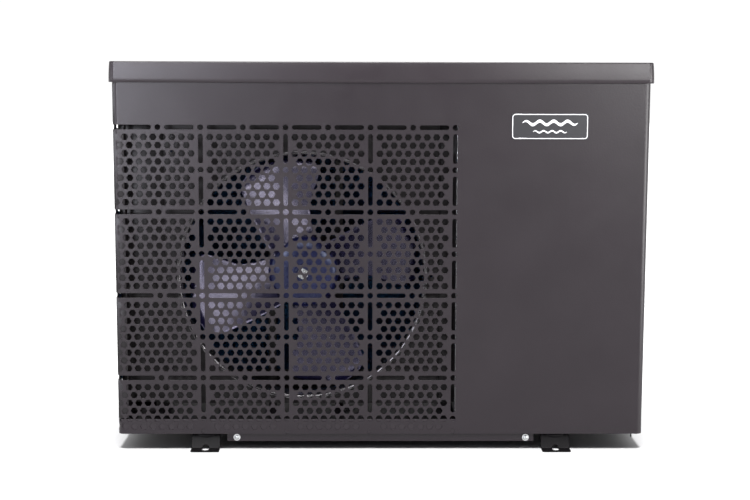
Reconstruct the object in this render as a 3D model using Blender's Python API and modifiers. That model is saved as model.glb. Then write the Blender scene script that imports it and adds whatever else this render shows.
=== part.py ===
"""Swimming-pool heat pump: a perforated steel cabinet on two foot rails, with the fan, coil,
compressor, water heat exchanger, controls and water unions inside it as separate pieces.

Metres, +Z up. The origin is on the floor under the middle of the cabinet, and the front faces -Y.
"""

import math

import bmesh
import bpy
from mathutils import Matrix, Vector

# ---------------------------------------------------------------- driving dimensions
LID_W, LID_D = 0.894, 0.300
LID_TOP, LID_BOTTOM = 0.648, 0.614
LID_T, LID_R = 0.0012, 0.0115
BODY_W, BODY_D = 0.884, 0.290
BODY_BOTTOM, BODY_TOP = 0.026, 0.6464
BODY_R, SHEET_T = 0.010, 0.001
WRAP = 0.030  # how far the front and rear sheets turn on to the sides
FOOT_D, FOOT_W, FOOT_X, FOOT_T = 0.359, 0.049, 0.295, 0.0025
FOOT_SLOT_W, FOOT_SLOT_L, FOOT_SLOT_Y = 0.0133, 0.016, 0.167
SKIRT_X, SKIRT_Y, SKIRT_Z = 0.260, 0.1305, 0.0095
PAN_RIM = 0.051
CELL = 0.13967  # pitch of the slot grid in the grille
GRID_X = [-0.2978, -0.1581, -0.0185, 0.1212]
GRID_Z = [0.5410, 0.4014, 0.2617, 0.1220]
SLOT_L, SLOT_W = 0.049, 0.0076
BADGE_X, BADGE_Z = (0.213, 0.3395), (0.522, 0.565)
FAN_X, FAN_Z = -0.1326, 0.290
FAN_R, HUB_R, ORIFICE_R = 0.196, 0.060, 0.208
FAN_FRONT, FAN_BACK = -0.099, -0.041
BLADES = 4
PLATE_Y = -0.1145
COIL_T, COIL_LEFT, COIL_BACK, COIL_RIGHT = 0.038, -0.420, 0.138, 0.118
COIL_Z = (0.054, 0.608)
COIL_R = 0.070
COMP_X, COMP_Y, COMP_R = 0.205, -0.048, 0.060
ACC_X, ACC_Y, ACC_R = 0.178, 0.040, 0.028
EXCH_X, EXCH_Y, EXCH_R = 0.340, 0.055, 0.068
PORT_Z = {"inlet": 0.090, "outlet": 0.400}
VALVE = (0.205, 0.060, 0.410)
CTRL_Y, CTRL_Z = 0.0, 0.492  # centre of the controller in the right side
GAUGE_Y, GAUGE_Z = -0.060, 0.345
HANDLE_Y, HANDLE_Z = 0.0, 0.584
GAP = 0.0003

for old in list(bpy.data.objects):
    bpy.data.objects.remove(old, do_unlink=True)

PARTS = bpy.data.collections.new("heat_pump_unit")
TOOLS = bpy.data.collections.new("heat_pump_cutters")
bpy.context.scene.collection.children.link(PARTS)
bpy.context.scene.collection.children.link(TOOLS)


# ---------------------------------------------------------------- materials
def material(name, colour, roughness, metallic=0.0):
    m = bpy.data.materials.new(name)
    m.use_nodes = True
    b = m.node_tree.nodes["Principled BSDF"]
    b.inputs["Base Color"].default_value = (*colour, 1.0)
    b.inputs["Roughness"].default_value = roughness
    b.inputs["Metallic"].default_value = metallic
    m.diffuse_color = (*colour, 1.0)
    return m


# ---------------------------------------------------------------- shape helpers
def put(obj, colour, roughness=0.5, metallic=0.0):
    """Gives a finished piece its own material and its place in the model's collection."""
    obj.data.materials.clear()
    obj.data.materials.append(material(obj.name, colour, roughness, metallic))
    if obj.type == "MESH" and obj.get("round"):
        obj.data.shade_smooth()
        obj.data.set_sharp_from_angle(angle=math.radians(35))
    for c in list(obj.users_collection):
        c.objects.unlink(obj)
    PARTS.objects.link(obj)
    return obj


def tool(obj):
    """A cutter or a shape to be joined: kept out of the model itself."""
    for c in list(obj.users_collection):
        c.objects.unlink(obj)
    TOOLS.objects.link(obj)
    obj.hide_render = True
    obj.display_type = "WIRE"
    return obj


def new(name, mesh):
    obj = bpy.data.objects.new(name, mesh)
    TOOLS.objects.link(obj)
    return obj


def box(name, lo, hi, bevel=0.0, segments=2):
    """A box between two corners."""
    lo, hi = Vector(lo), Vector(hi)
    bm = bmesh.new()
    bmesh.ops.create_cube(bm, size=1.0)
    bmesh.ops.scale(bm, vec=hi - lo, verts=bm.verts)
    mesh = bpy.data.meshes.new(name)
    bm.to_mesh(mesh)
    bm.free()
    obj = new(name, mesh)
    obj.location = (lo + hi) / 2
    if bevel:
        b = obj.modifiers.new("edges", "BEVEL")
        b.width, b.segments, b.limit_method = bevel, segments, "ANGLE"
    return obj


AXES = {
    "+Z": (0, 0, 0),
    "-Z": (math.pi, 0, 0),
    "+Y": (-math.pi / 2, 0, 0),
    "-Y": (math.pi / 2, 0, 0),
    "+X": (0, math.pi / 2, 0),
    "-X": (0, -math.pi / 2, 0),
}


def cylinder(name, r, start, length, axis="+Z", segments=24, r2=None):
    """A cylinder or cone that starts at a point and runs along an axis."""
    bm = bmesh.new()
    bmesh.ops.create_cone(
        bm, cap_ends=True, segments=segments, radius1=r, radius2=r if r2 is None else r2, depth=length
    )
    bmesh.ops.translate(bm, vec=(0, 0, length / 2), verts=bm.verts)
    mesh = bpy.data.meshes.new(name)
    bm.to_mesh(mesh)
    bm.free()
    obj = new(name, mesh)
    obj.location = start
    obj.rotation_euler = AXES[axis]
    obj["round"] = True
    return obj


def turned(name, profile, origin=(0, 0, 0), axis="+Z", steps=24):
    """Profile of (radius, height) points, turned about an axis with a Screw modifier.
    It is a closed loop unless it starts and ends on the axis."""
    open_ends = profile[0][0] == 0 and profile[-1][0] == 0
    pts = list(profile)
    area = sum(
        a[0] * b[1] - b[0] * a[1] for a, b in zip(pts, pts[1:] + pts[:1])
    )
    if area > 0:
        pts.reverse()
    bm = bmesh.new()
    verts = [bm.verts.new((r, 0, h)) for r, h in pts]
    for a, b in zip(verts, verts[1:] if open_ends else verts[1:] + verts[:1]):
        bm.edges.new((a, b))
    mesh = bpy.data.meshes.new(name)
    bm.to_mesh(mesh)
    bm.free()
    obj = new(name, mesh)
    s = obj.modifiers.new("turn", "SCREW")
    s.steps = s.render_steps = steps
    s.use_merge_vertices = True
    s.merge_threshold = 0.00001
    s.use_smooth_shade = True
    obj.location = origin
    obj.rotation_euler = AXES[axis]
    obj["round"] = True
    return obj


def plate(name, outlines, thickness, location, rotation):
    """A flat sheet: the first outline with the others as holes in it, or as many separate outlines."""
    curve = bpy.data.curves.new(name, "CURVE")
    curve.dimensions = "2D"
    curve.fill_mode = "BOTH"
    curve.extrude = thickness / 2
    for outline in outlines:
        spline = curve.splines.new("POLY")
        spline.points.add(len(outline) - 1)
        for p, (x, y) in zip(spline.points, outline):
            p.co = (x, y, 0, 1)
        spline.use_cyclic_u = True
    obj = bpy.data.objects.new(name, curve)
    TOOLS.objects.link(obj)
    obj.location = location
    obj.rotation_euler = rotation
    return obj


FACING_FRONT = (math.pi / 2, 0, 0)  # local x, y -> X, Z
FACING_SIDE = (math.pi / 2, 0, math.pi / 2)  # local x, y -> Y, Z
FLAT = (0, 0, 0)


def meshed(curve):
    """A curve object as a welded mesh object with the same name and place."""
    bpy.context.view_layer.update()
    dg = bpy.context.evaluated_depsgraph_get()
    mesh = bpy.data.meshes.new_from_object(curve.evaluated_get(dg), depsgraph=dg)
    bm = bmesh.new()
    bm.from_mesh(mesh)
    bmesh.ops.remove_doubles(bm, verts=bm.verts, dist=0.000005)
    bmesh.ops.recalc_face_normals(bm, faces=bm.faces)
    bm.to_mesh(mesh)
    bm.free()
    name = curve.name
    place = curve.matrix_world.copy()
    bpy.data.objects.remove(curve, do_unlink=True)
    obj = new(name, mesh)
    obj.matrix_world = place
    return obj


def rounded_rect(x0, y0, x1, y1, r, n=4):
    pts = []
    for cx, cy, start in (
        (x1 - r, y1 - r, 0),
        (x0 + r, y1 - r, 90),
        (x0 + r, y0 + r, 180),
        (x1 - r, y0 + r, 270),
    ):
        for i in range(n + 1):
            a = math.radians(start + 90 * i / n)
            pts.append((cx + r * math.cos(a), cy + r * math.sin(a)))
    return pts


def circle(cx, cy, r, n=24):
    return [(cx + r * math.cos(2 * math.pi * i / n), cy + r * math.sin(2 * math.pi * i / n)) for i in range(n)]


def slot(cx, cy, length, width, upright=False):
    """A slot outline with three-sided ends."""
    a, b, c = length / 2, length / 2 - width / 2, width / 2
    pts = [(a, 0), (b, c), (-b, c), (-a, 0), (-b, -c), (b, -c)]
    return [(cx + (y if upright else x), cy + (-x if upright else y)) for x, y in pts]


def rounded_route(points, r, n=2):
    """A polyline whose corners are turned into arcs."""
    pts = [Vector(p) for p in points]
    out = [pts[0]]
    for a, b, c in zip(pts, pts[1:], pts[2:]):
        u, v = (a - b).normalized(), (c - b).normalized()
        angle = u.angle(v)
        t = min(r / math.tan(angle / 2), (a - b).length * 0.49, (c - b).length * 0.49)
        radius = t * math.tan(angle / 2)
        centre = b + (u + v).normalized() * (radius / math.sin(angle / 2))
        p, q = (b + u * t - centre), (b + v * t - centre)
        for i in range(n + 1):
            out.append(centre + p.normalized().slerp(q.normalized(), i / n) * p.length)
    out.append(pts[-1])
    return out


def tube(name, points, r, resolution=2):
    """A rod along a polyline, with filled caps."""
    curve = bpy.data.curves.new(name, "CURVE")
    curve.dimensions = "3D"
    curve.bevel_depth = r
    curve.bevel_resolution = resolution
    curve.use_fill_caps = True
    spline = curve.splines.new("POLY")
    spline.points.add(len(points) - 1)
    for p, q in zip(spline.points, points):
        p.co = (*q, 1)
    spline.use_smooth = True
    obj = bpy.data.objects.new(name, curve)
    TOOLS.objects.link(obj)
    return obj


def wall(name, path, z0, z1, thickness=SHEET_T):
    """An upright bent sheet: a path in plan, drawn up from z0 to z1 and made thick to its left."""
    bm = bmesh.new()
    low = [bm.verts.new((x, y, z0)) for x, y in path]
    edges = [bm.edges.new((a, b)) for a, b in zip(low, low[1:])]
    grown = bmesh.ops.extrude_edge_only(bm, edges=edges)
    top = [v for v in grown["geom"] if isinstance(v, bmesh.types.BMVert)]
    bmesh.ops.translate(bm, vec=(0, 0, z1 - z0), verts=top)
    bmesh.ops.recalc_face_normals(bm, faces=bm.faces)
    # faces look away from the inside of the cabinet
    bm.faces.ensure_lookup_table()
    face = max(bm.faces, key=lambda f: f.calc_area())
    if face.normal.dot(face.calc_center_median() * Vector((1, 1, 0))) < 0:
        bmesh.ops.reverse_faces(bm, faces=bm.faces)
    mesh = bpy.data.meshes.new(name)
    bm.to_mesh(mesh)
    bm.free()
    obj = new(name, mesh)
    s = obj.modifiers.new("sheet", "SOLIDIFY")
    s.thickness, s.offset, s.use_even_offset = thickness, -1, True
    return obj


def corner(cx, cy, r, start, end, n=4):
    return [
        (cx + r * math.cos(math.radians(start + (end - start) * i / n)),
         cy + r * math.sin(math.radians(start + (end - start) * i / n)))
        for i in range(n + 1)
    ]


def combine(obj, *others, op="UNION"):
    for o in others:
        if o.type == "CURVE":
            o = meshed(o)
        tool(o)
        m = obj.modifiers.new(op.lower(), "BOOLEAN")
        m.operation, m.solver, m.object = op, "EXACT", o
    return obj


def cut(obj, *others):
    return combine(obj, *others, op="DIFFERENCE")


STEEL = (0.060, 0.055, 0.062)
BLACK = (0.020, 0.020, 0.022)
ZINC = (0.55, 0.56, 0.57)
COPPER = (0.72, 0.36, 0.20)
PVC = (0.60, 0.61, 0.62)

# ---------------------------------------------------------------- foot rails
for side, x in (("left", -FOOT_X), ("right", FOOT_X)):
    rise = 0.0257
    tab_in = 0.1520
    outer = [
        (-FOOT_D / 2, 0), (-FOOT_D / 2, FOOT_T), (-tab_in, FOOT_T), (-tab_in + 0.004, rise),
        (tab_in - 0.004, rise), (tab_in, FOOT_T), (FOOT_D / 2, FOOT_T), (FOOT_D / 2, 0),
        (tab_in - 0.0025, 0), (tab_in - 0.0065, rise - FOOT_T), (-tab_in + 0.0065, rise - FOOT_T), (-tab_in + 0.0025, 0),
    ]
    rail = meshed(plate(f"foot_rail_{side}", [outer], FOOT_W, (x, 0, 0), FACING_SIDE))
    for i, dx in enumerate((-FOOT_W / 2 + 0.001, FOOT_W / 2 - 0.001)):
        flange = box(f"foot_flange_{side}_{i}", (x + dx - 0.001, -0.143, 0.010), (x + dx + 0.001, 0.143, rise - 0.001))
        combine(rail, flange)
    for i, y in enumerate((-FOOT_SLOT_Y, FOOT_SLOT_Y)):
        cut(rail, plate(f"foot_slot_{side}_{i}", [rounded_rect(-FOOT_SLOT_W / 2, -FOOT_SLOT_L / 2, FOOT_SLOT_W / 2, FOOT_SLOT_L / 2, FOOT_SLOT_W * 0.49, 3)], 0.02, (x, y, 0), FLAT))
    put(rail, BLACK, 0.45)

# ---------------------------------------------------------------- base pan with its skirts
pan = meshed(plate("base_pan", [rounded_rect(-0.4405, -0.1435, 0.4405, 0.1435, 0.0090, 3)], PAN_RIM - BODY_BOTTOM, (0, 0, (PAN_RIM + BODY_BOTTOM) / 2), FLAT))
cut(pan, plate("pan_hollow", [rounded_rect(-0.4393, -0.1423, 0.4393, 0.1423, 0.0078, 3)], PAN_RIM - BODY_BOTTOM, (0, 0, (PAN_RIM + BODY_BOTTOM) / 2 + 0.0012), FLAT))
for i, y in enumerate((-SKIRT_Y, SKIRT_Y)):
    combine(pan, box(f"skirt_{i}", (-SKIRT_X, y - 0.0006, SKIRT_Z), (SKIRT_X, y + 0.0006, BODY_BOTTOM + 0.0006)))
DRAIN = (-0.060, 0.020)
cut(pan, cylinder("pan_drain_hole", 0.0110, (*DRAIN, 0.015), 0.03, segments=16))
put(pan, (0.070, 0.066, 0.070), 0.5)
put(turned("drain_nipple", [(0.007, 0.006), (0.009, 0.006), (0.009, 0.0225), (0.016, 0.0225), (0.016, 0.0256),
                            (0.0105, 0.0256), (0.0105, 0.0292), (0.007, 0.0292)], (*DRAIN, 0), steps=12), BLACK, 0.5)

# ---------------------------------------------------------------- cabinet sheets
half, deep, r = BODY_W / 2, BODY_D / 2, BODY_R
front_path = (
    [(-half, -deep + WRAP)]
    + corner(-half + r, -deep + r, r, 180, 270)
    + corner(half - r, -deep + r, r, 270, 360)
    + [(half, -deep + WRAP)]
)
front = wall("front_panel", front_path, BODY_BOTTOM, BODY_TOP)


def grid_slots(lines_x, lines_z, row_from, row_to):
    """The slots of the grille: two in each cell edge, along the rows and up the lines."""
    out = []
    for z in lines_z:
        x = lines_x[-1]
        while x - CELL / 4 > row_from:
            for q in (CELL / 4, 3 * CELL / 4):
                if x - q - SLOT_L / 2 > row_from and x - q + SLOT_L / 2 < row_to:
                    out.append(slot(x - q, z, SLOT_L, SLOT_W))
            x -= CELL
    for x in lines_x:
        for z in lines_z[:-1]:
            for q in (CELL / 4, 3 * CELL / 4):
                out.append(slot(x, z - q, SLOT_L, SLOT_W, upright=True))
        out.append(slot(x, lines_z[-1] - CELL / 4, SLOT_L, SLOT_W, upright=True))
    return out


cut(front, plate("front_slots", grid_slots(GRID_X, GRID_Z, -0.430, 0.130), 0.03, (0, -deep, 0), FACING_FRONT))
put(front, STEEL, 0.45, 0.2)

left = wall(
    "left_side_grille",
    [(-half, -deep + WRAP + 0.0005), (-half, 0.0)] + corner(-half + r, deep - r, r, 180, 90) + [(-0.4000, deep)],
    BODY_BOTTOM, BODY_TOP,
)
side_slots = [slot(y, z, SLOT_L, SLOT_W) for z in GRID_Z for y in (-0.072, 0.0, 0.072)]
cut(left, plate("left_slots", side_slots, 0.03, (-half, 0, 0), FACING_SIDE))
put(left, STEEL, 0.45, 0.2)

side = plate(
    "right_side_panel",
    [
        rounded_rect(-deep + WRAP + 0.0005, BODY_BOTTOM, deep - WRAP - 0.0005, BODY_TOP, 0.0005, 1),
        rounded_rect(CTRL_Y - 0.0762, CTRL_Z - 0.0512, CTRL_Y + 0.0762, CTRL_Z + 0.0512, 0.0005, 1),
        circle(GAUGE_Y, GAUGE_Z, 0.0310),
    ],
    SHEET_T, (half - SHEET_T / 2, 0, 0), FACING_SIDE,
)
side = meshed(side)
# the lifting recess is pressed into the sheet
combine(side, plate("handle_cup", [rounded_rect(HANDLE_Y - 0.0462, HANDLE_Z - 0.0192, HANDLE_Y + 0.0462, HANDLE_Z + 0.0192, 0.0132, 3)],
                    0.0235, (half - 0.01175 - 0.0004, 0, 0), FACING_SIDE))
cut(side, plate("handle_hollow", [rounded_rect(HANDLE_Y - 0.045, HANDLE_Z - 0.018, HANDLE_Y + 0.045, HANDLE_Z + 0.018, 0.012, 3)],
                0.0260, (half - 0.0104, 0, 0), FACING_SIDE))
put(side, STEEL, 0.45, 0.2)

rear = wall(
    "rear_panel",
    [(0.1222, deep)] + corner(half - r, deep - r, r, 90, 0) + [(half, deep - WRAP)],
    BODY_BOTTOM, BODY_TOP,
)
for name, z in PORT_Z.items():
    cut(rear, cylinder(f"rear_hole_{name}", 0.0265, (EXCH_X, deep - 0.02, z), 0.04, "+Y", 20))
GLAND = (0.190, 0.560)
cut(rear, cylinder("rear_hole_gland", 0.0083, (GLAND[0], deep - 0.02, GLAND[1]), 0.04, "+Y", 12))
put(rear, STEEL, 0.45, 0.2)

guard_holes = []
gx0, gx1, gz0, gz1 = -0.3994, 0.1216, 0.0265, 0.612
nx, nz = 2, 10
for i in range(nx):
    for k in range(nz):
        x0 = gx0 + 0.012 + i * (gx1 - gx0 - 0.020) / nx
        z0 = gz0 + 0.034 + k * (gz1 - gz0 - 0.048) / nz
        guard_holes.append([(x0, z0), (x0 + (gx1 - gx0 - 0.020) / nx - 0.004, z0),
                            (x0 + (gx1 - gx0 - 0.020) / nx - 0.004, z0 + (gz1 - gz0 - 0.048) / nz - 0.004),
                            (x0, z0 + (gz1 - gz0 - 0.048) / nz - 0.004)])
put(meshed(plate("rear_coil_guard", [[(gx0, gz0), (gx1, gz0), (gx1, gz1), (gx0, gz1)]] + guard_holes,
                 0.0012, (0, deep - 0.0006, 0), FACING_FRONT)), BLACK, 0.5)

lid = meshed(plate("top_cover", [rounded_rect(-LID_W / 2, -LID_D / 2, LID_W / 2, LID_D / 2, LID_R, 6)],
                   LID_TOP - LID_BOTTOM, (0, 0, (LID_TOP + LID_BOTTOM) / 2), FLAT))
cut(lid, plate("lid_hollow", [rounded_rect(-LID_W / 2 + LID_T, -LID_D / 2 + LID_T, LID_W / 2 - LID_T, LID_D / 2 - LID_T, LID_R - LID_T, 6)],
               LID_TOP - LID_BOTTOM, (0, 0, (LID_TOP + LID_BOTTOM) / 2 - LID_T), FLAT))
put(lid, STEEL, 0.45, 0.2)

put(plate("badge_plate", [rounded_rect(BADGE_X[0], BADGE_Z[0], BADGE_X[1], BADGE_Z[1], 0.003, 3)],
          0.0012, (0, -deep - 0.0003 - 0.0006, 0), FACING_FRONT), (0.02, 0.02, 0.024), 0.3)

for side_name, x, z in (("left", -0.2435, 0.0165), ("right", 0.2460, 0.0162)):
    y = -SKIRT_Y - 0.0006 - GAP
    put(turned(f"skirt_screw_{side_name}", [(0, 0), (0.0060, 0), (0.0060, 0.0009), (0.0038, 0.0012), (0.0036, 0.0032), (0, 0.0038)],
               (x, y, z), "-Y", 12), ZINC, 0.25, 1.0)

# ---------------------------------------------------------------- fan and its motor
orifice = meshed(plate("fan_orifice_plate",
                       [rounded_rect(-0.4385, 0.0525, 0.1262, 0.6120, 0.001, 1), circle(FAN_X, FAN_Z, ORIFICE_R + 0.006, 48)],
                       SHEET_T, (0, PLATE_Y + SHEET_T / 2, 0), FACING_FRONT))
bell = turned("bell_mouth", [(ORIFICE_R + 0.0065, 0.0), (ORIFICE_R + 0.002, 0.0), (ORIFICE_R, 0.003), (ORIFICE_R, 0.034), (ORIFICE_R + 0.004, 0.042),
                             (ORIFICE_R + 0.005, 0.042), (ORIFICE_R + 0.0012, 0.034), (ORIFICE_R + 0.0012, 0.0035), (ORIFICE_R + 0.0024, 0.001), (ORIFICE_R + 0.0065, 0.001)],
              (FAN_X, PLATE_Y, FAN_Z), "+Y", 48)
combine(orifice, bell)
put(orifice, (0.16, 0.16, 0.17), 0.4, 0.6)


def blade_edges(radius):
    """The blade's clockwise and anticlockwise edges at a radius, in degrees anticlockwise from +X seen from the front."""
    marks = ((0.050, -22.0, 60.0), (0.065, -17.0, 54.0), (0.085, -9.0, 48.0), (0.110, -5.0, 43.5),
             (0.151, -8.5, 38.5), (0.175, -9.5, 36.0), (0.190, -6.0, 31.0), (0.196, 2.0, 22.0))
    for a, b in zip(marks, marks[1:]):
        if radius <= b[0] + 1e-9:
            t = (radius - a[0]) / (b[0] - a[0])
            return a[1] + t * (b[1] - a[1]), a[2] + t * (b[2] - a[2])
    return marks[-1][1], marks[-1][2]


def blade_mesh(name, turn, radii, across, thickness):
    """A pitched, cambered blade: a sheet over radius and angle, made thick on both sides."""
    bm = bmesh.new()
    rows = []
    for rad in radii:
        lo, hi = blade_edges(rad)
        row = []
        for j in range(across + 1):
            v = j / across
            a = math.radians(turn + lo + v * (hi - lo))
            camber = 0.006 * 4 * v * (1 - v)
            y = FAN_BACK + v * (FAN_FRONT - FAN_BACK) + camber + 0.006 * (1 - rad / FAN_R)
            row.append(bm.verts.new((rad * math.cos(a), y, rad * math.sin(a))))
        rows.append(row)
    for a, b in zip(rows, rows[1:]):
        for j in range(across):
            bm.faces.new((a[j], a[j + 1], b[j + 1], b[j]))
    mesh = bpy.data.meshes.new(name)
    bm.to_mesh(mesh)
    bm.free()
    obj = new(name, mesh)
    s = obj.modifiers.new("sheet", "SOLIDIFY")
    s.thickness, s.offset = thickness, 0
    obj.location = (FAN_X, 0, FAN_Z)
    return obj


propeller = turned("fan_propeller",
                   [(0.0063, -0.0802), (0.040, -0.0795), (0.054, -0.0745), (HUB_R, -0.066), (HUB_R, -0.034),
                    (HUB_R - 0.003, -0.034), (HUB_R - 0.003, -0.066), (0.050, -0.0730), (0.013, -0.0770), (0.012, -0.050), (0.0063, -0.050)],
                   (FAN_X, 0, FAN_Z), "+Y", 24)
for i in range(BLADES):
    combine(propeller, blade_mesh(f"blade_{i}", i * 360 / BLADES, (0.0585, 0.085, 0.120, 0.160, 0.185, 0.196), 4, 0.003))
put(propeller, (0.10, 0.10, 0.13), 0.35)
put(cylinder("fan_nut", 0.0095, (FAN_X, -0.0888, FAN_Z), 0.0078, "+Y", 6), ZINC, 0.25, 1.0)
# the nut turns with the shaft and is bored for it
cut(bpy.data.objects["fan_nut"], cylinder("nut_bore", 0.0063, (FAN_X, -0.0898, FAN_Z), 0.0098, "+Y", 16))
put(cylinder("motor_shaft", 0.0060, (FAN_X, -0.0910, FAN_Z), 0.1270, "+Y", 16), ZINC, 0.2, 1.0)
put(turned("motor_rotor", [(0.0063, -0.012), (0.026, -0.012), (0.026, 0.020), (0.0063, 0.020)], (FAN_X, 0, FAN_Z), "+Y", 20), (0.30, 0.30, 0.31), 0.4, 0.8)
put(turned("motor_bearing_front", [(0.0063, -0.0235), (0.0130, -0.0235), (0.0130, -0.0165), (0.0063, -0.0165)], (FAN_X, 0, FAN_Z), "+Y", 20), ZINC, 0.2, 1.0)
put(turned("motor_bearing_rear", [(0.0063, 0.0245), (0.0130, 0.0245), (0.0130, 0.0315), (0.0063, 0.0315)], (FAN_X, 0, FAN_Z), "+Y", 20), ZINC, 0.2, 1.0)
put(turned("motor_housing",
           [(0.0075, -0.0280), (0.044, -0.0270), (0.0480, -0.0230), (0.0480, 0.0220), (0.0270, 0.0220), (0.0270, -0.0145),
            (0.0133, -0.0145), (0.0133, -0.0245), (0.0075, -0.0245)], (FAN_X, 0, FAN_Z), "+Y", 24), (0.12, 0.12, 0.125), 0.5)
put(turned("motor_end_cover",
           [(0.0133, 0.0223), (0.0480, 0.0223), (0.0480, 0.0330), (0.0440, 0.0390), (0.0070, 0.0390), (0.0070, 0.0320), (0.0133, 0.0320)],
           (FAN_X, 0, FAN_Z), "+Y", 24), (0.35, 0.36, 0.37), 0.4, 0.8)

bracket = meshed(plate("motor_bracket", [
    [(FAN_X - 0.067, 0.0280), (FAN_X - 0.053, 0.0280), (FAN_X - 0.053, FAN_Z - 0.050), (FAN_X + 0.053, FAN_Z - 0.050), (FAN_X + 0.053, 0.0280),
     (FAN_X + 0.067, 0.0280), (FAN_X + 0.067, 0.6460), (FAN_X + 0.053, 0.6460), (FAN_X + 0.053, FAN_Z + 0.050), (FAN_X - 0.053, FAN_Z + 0.050),
     (FAN_X - 0.053, 0.6460), (FAN_X - 0.067, 0.6460)],
], 0.0020, (0, 0.0405, 0), FACING_FRONT))
for i, x in enumerate((FAN_X - 0.066, FAN_X + 0.066)):
    combine(bracket, box(f"bracket_rib_{i}", (x - 0.0010, 0.0400, 0.0290), (x + 0.0010, 0.0560, 0.6450)))
put(bracket, ZINC, 0.4, 0.9)

# ---------------------------------------------------------------- finned coil
L, B, T, R = COIL_LEFT, COIL_BACK, COIL_T, COIL_R
coil_outline = (
    [(L, -0.100)]
    + [(p[0], p[1]) for p in corner(L + R, B - R, R, 180, 90, 5)]
    + [(COIL_RIGHT, B), (COIL_RIGHT, B - T)]
    + [(p[0], p[1]) for p in corner(L + R, B - R, R - T, 90, 180, 5)]
    + [(L + T, -0.100)]
)
put(plate("evaporator_coil", [coil_outline], COIL_Z[1] - COIL_Z[0], (0, 0, sum(COIL_Z) / 2), FLAT), (0.02, 0.10, 0.28), 0.5, 0.3)
ends = box("coil_end_plate", (COIL_RIGHT + GAP, B - T - 0.001, COIL_Z[0]), (COIL_RIGHT + 0.0018, B + 0.001, COIL_Z[1]))
for i in range(5):
    z = 0.100 + i * 0.105
    y = B - T / 2
    combine(ends, tube(f"return_bend_{i}", rounded_route([(COIL_RIGHT + 0.001, y, z), (COIL_RIGHT + 0.020, y, z), (COIL_RIGHT + 0.020, y, z + 0.025), (COIL_RIGHT + 0.001, y, z + 0.025)], 0.012, 2), 0.0045))
put(ends, COPPER, 0.35, 0.9)
header = cylinder("coil_header", 0.0095, (0.1580, 0.1180, 0.110), 0.430, segments=12)
for i in range(4):
    combine(header, cylinder(f"header_stub_{i}", 0.0045, (0.1532, 0.1180, 0.150 + i * 0.105), 0.0324, "-X", 6))
valve_left = (VALVE[0] - 0.030, VALVE[1], VALVE[2] - 0.0353)
combine(header, tube("header_pipe", rounded_route([(0.158, 0.118, 0.130), (0.158, 0.118, 0.090), (0.152, 0.082, 0.090), (0.146, 0.078, 0.330), (valve_left[0], VALVE[1], 0.330), valve_left], 0.012, 2), 0.0080))
put(header, COPPER, 0.35, 0.9)

put(plate("partition_plate", [[(-0.1130, 0.0530), (0.0970, 0.0530), (0.0970, 0.6455), (-0.1130, 0.6455)]], SHEET_T, (0.1270, 0, 0), FACING_SIDE), ZINC, 0.45, 0.8)

# ---------------------------------------------------------------- compressor group
comp = turned("compressor",
              [(0, 0.034), (0.035, 0.036), (0.054, 0.044), (COMP_R, 0.056), (COMP_R, 0.262), (0.054, 0.276), (0.036, 0.288), (0, 0.291)],
              (COMP_X, COMP_Y, 0), steps=22)
lugs = []
for i in range(3):
    a = math.radians(90 + 120 * i + 150)
    lugs.append((COMP_X + 0.078 * math.cos(a), COMP_Y + 0.078 * math.sin(a)))
foot = meshed(plate("compressor_foot", [[p for x, y in lugs for p in corner(x, y, 0.014, math.degrees(math.atan2(y - COMP_Y, x - COMP_X)) - 60, math.degrees(math.atan2(y - COMP_Y, x - COMP_X)) + 60, 4)]],
                    0.003, (0, 0, 0.0485), FLAT))
for i, (x, y) in enumerate(lugs):
    cut(foot, cylinder(f"lug_hole_{i}", 0.0085, (x, y, 0.040), 0.02, segments=12))
combine(comp, foot, cylinder("compressor_outlet", 0.0060, (COMP_X, COMP_Y, 0.285), 0.030, segments=12),
        cylinder("compressor_terminals", 0.020, (COMP_X + 0.030, COMP_Y - 0.015, 0.270), 0.024, segments=14))
put(comp, (0.03, 0.03, 0.033), 0.4)
for tag, (x, y) in zip(("front", "left", "right"), sorted(lugs, key=lambda p: (p[1] > -0.1, p[0]))):
    put(turned(f"compressor_mount_{tag}", [(0.0045, 0.0276), (0.0125, 0.0276), (0.0125, 0.0467), (0.0080, 0.0467),
                                           (0.0080, 0.0503), (0.0110, 0.0503), (0.0110, 0.0540), (0.0045, 0.0540)], (x, y, 0), steps=10), (0.015, 0.015, 0.015), 0.8)

acc = turned("accumulator", [(0, 0.108), (0.014, 0.110), (ACC_R, 0.124), (ACC_R, 0.236), (0.014, 0.250), (0, 0.252)], (ACC_X, ACC_Y, 0), steps=20)
to_comp = Vector((COMP_X - ACC_X, COMP_Y - ACC_Y, 0))
reach = to_comp.normalized() * (to_comp.length - COMP_R - 0.0006)
combine(acc, cylinder("acc_inlet", 0.0070, (ACC_X, ACC_Y, 0.246), 0.016, segments=12),
        tube("acc_outlet", rounded_route([(ACC_X, ACC_Y, 0.114), (ACC_X, ACC_Y, 0.082), (ACC_X + reach.x, ACC_Y + reach.y, 0.082)], 0.016), 0.0070))
put(acc, (0.03, 0.03, 0.033), 0.4)

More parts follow.
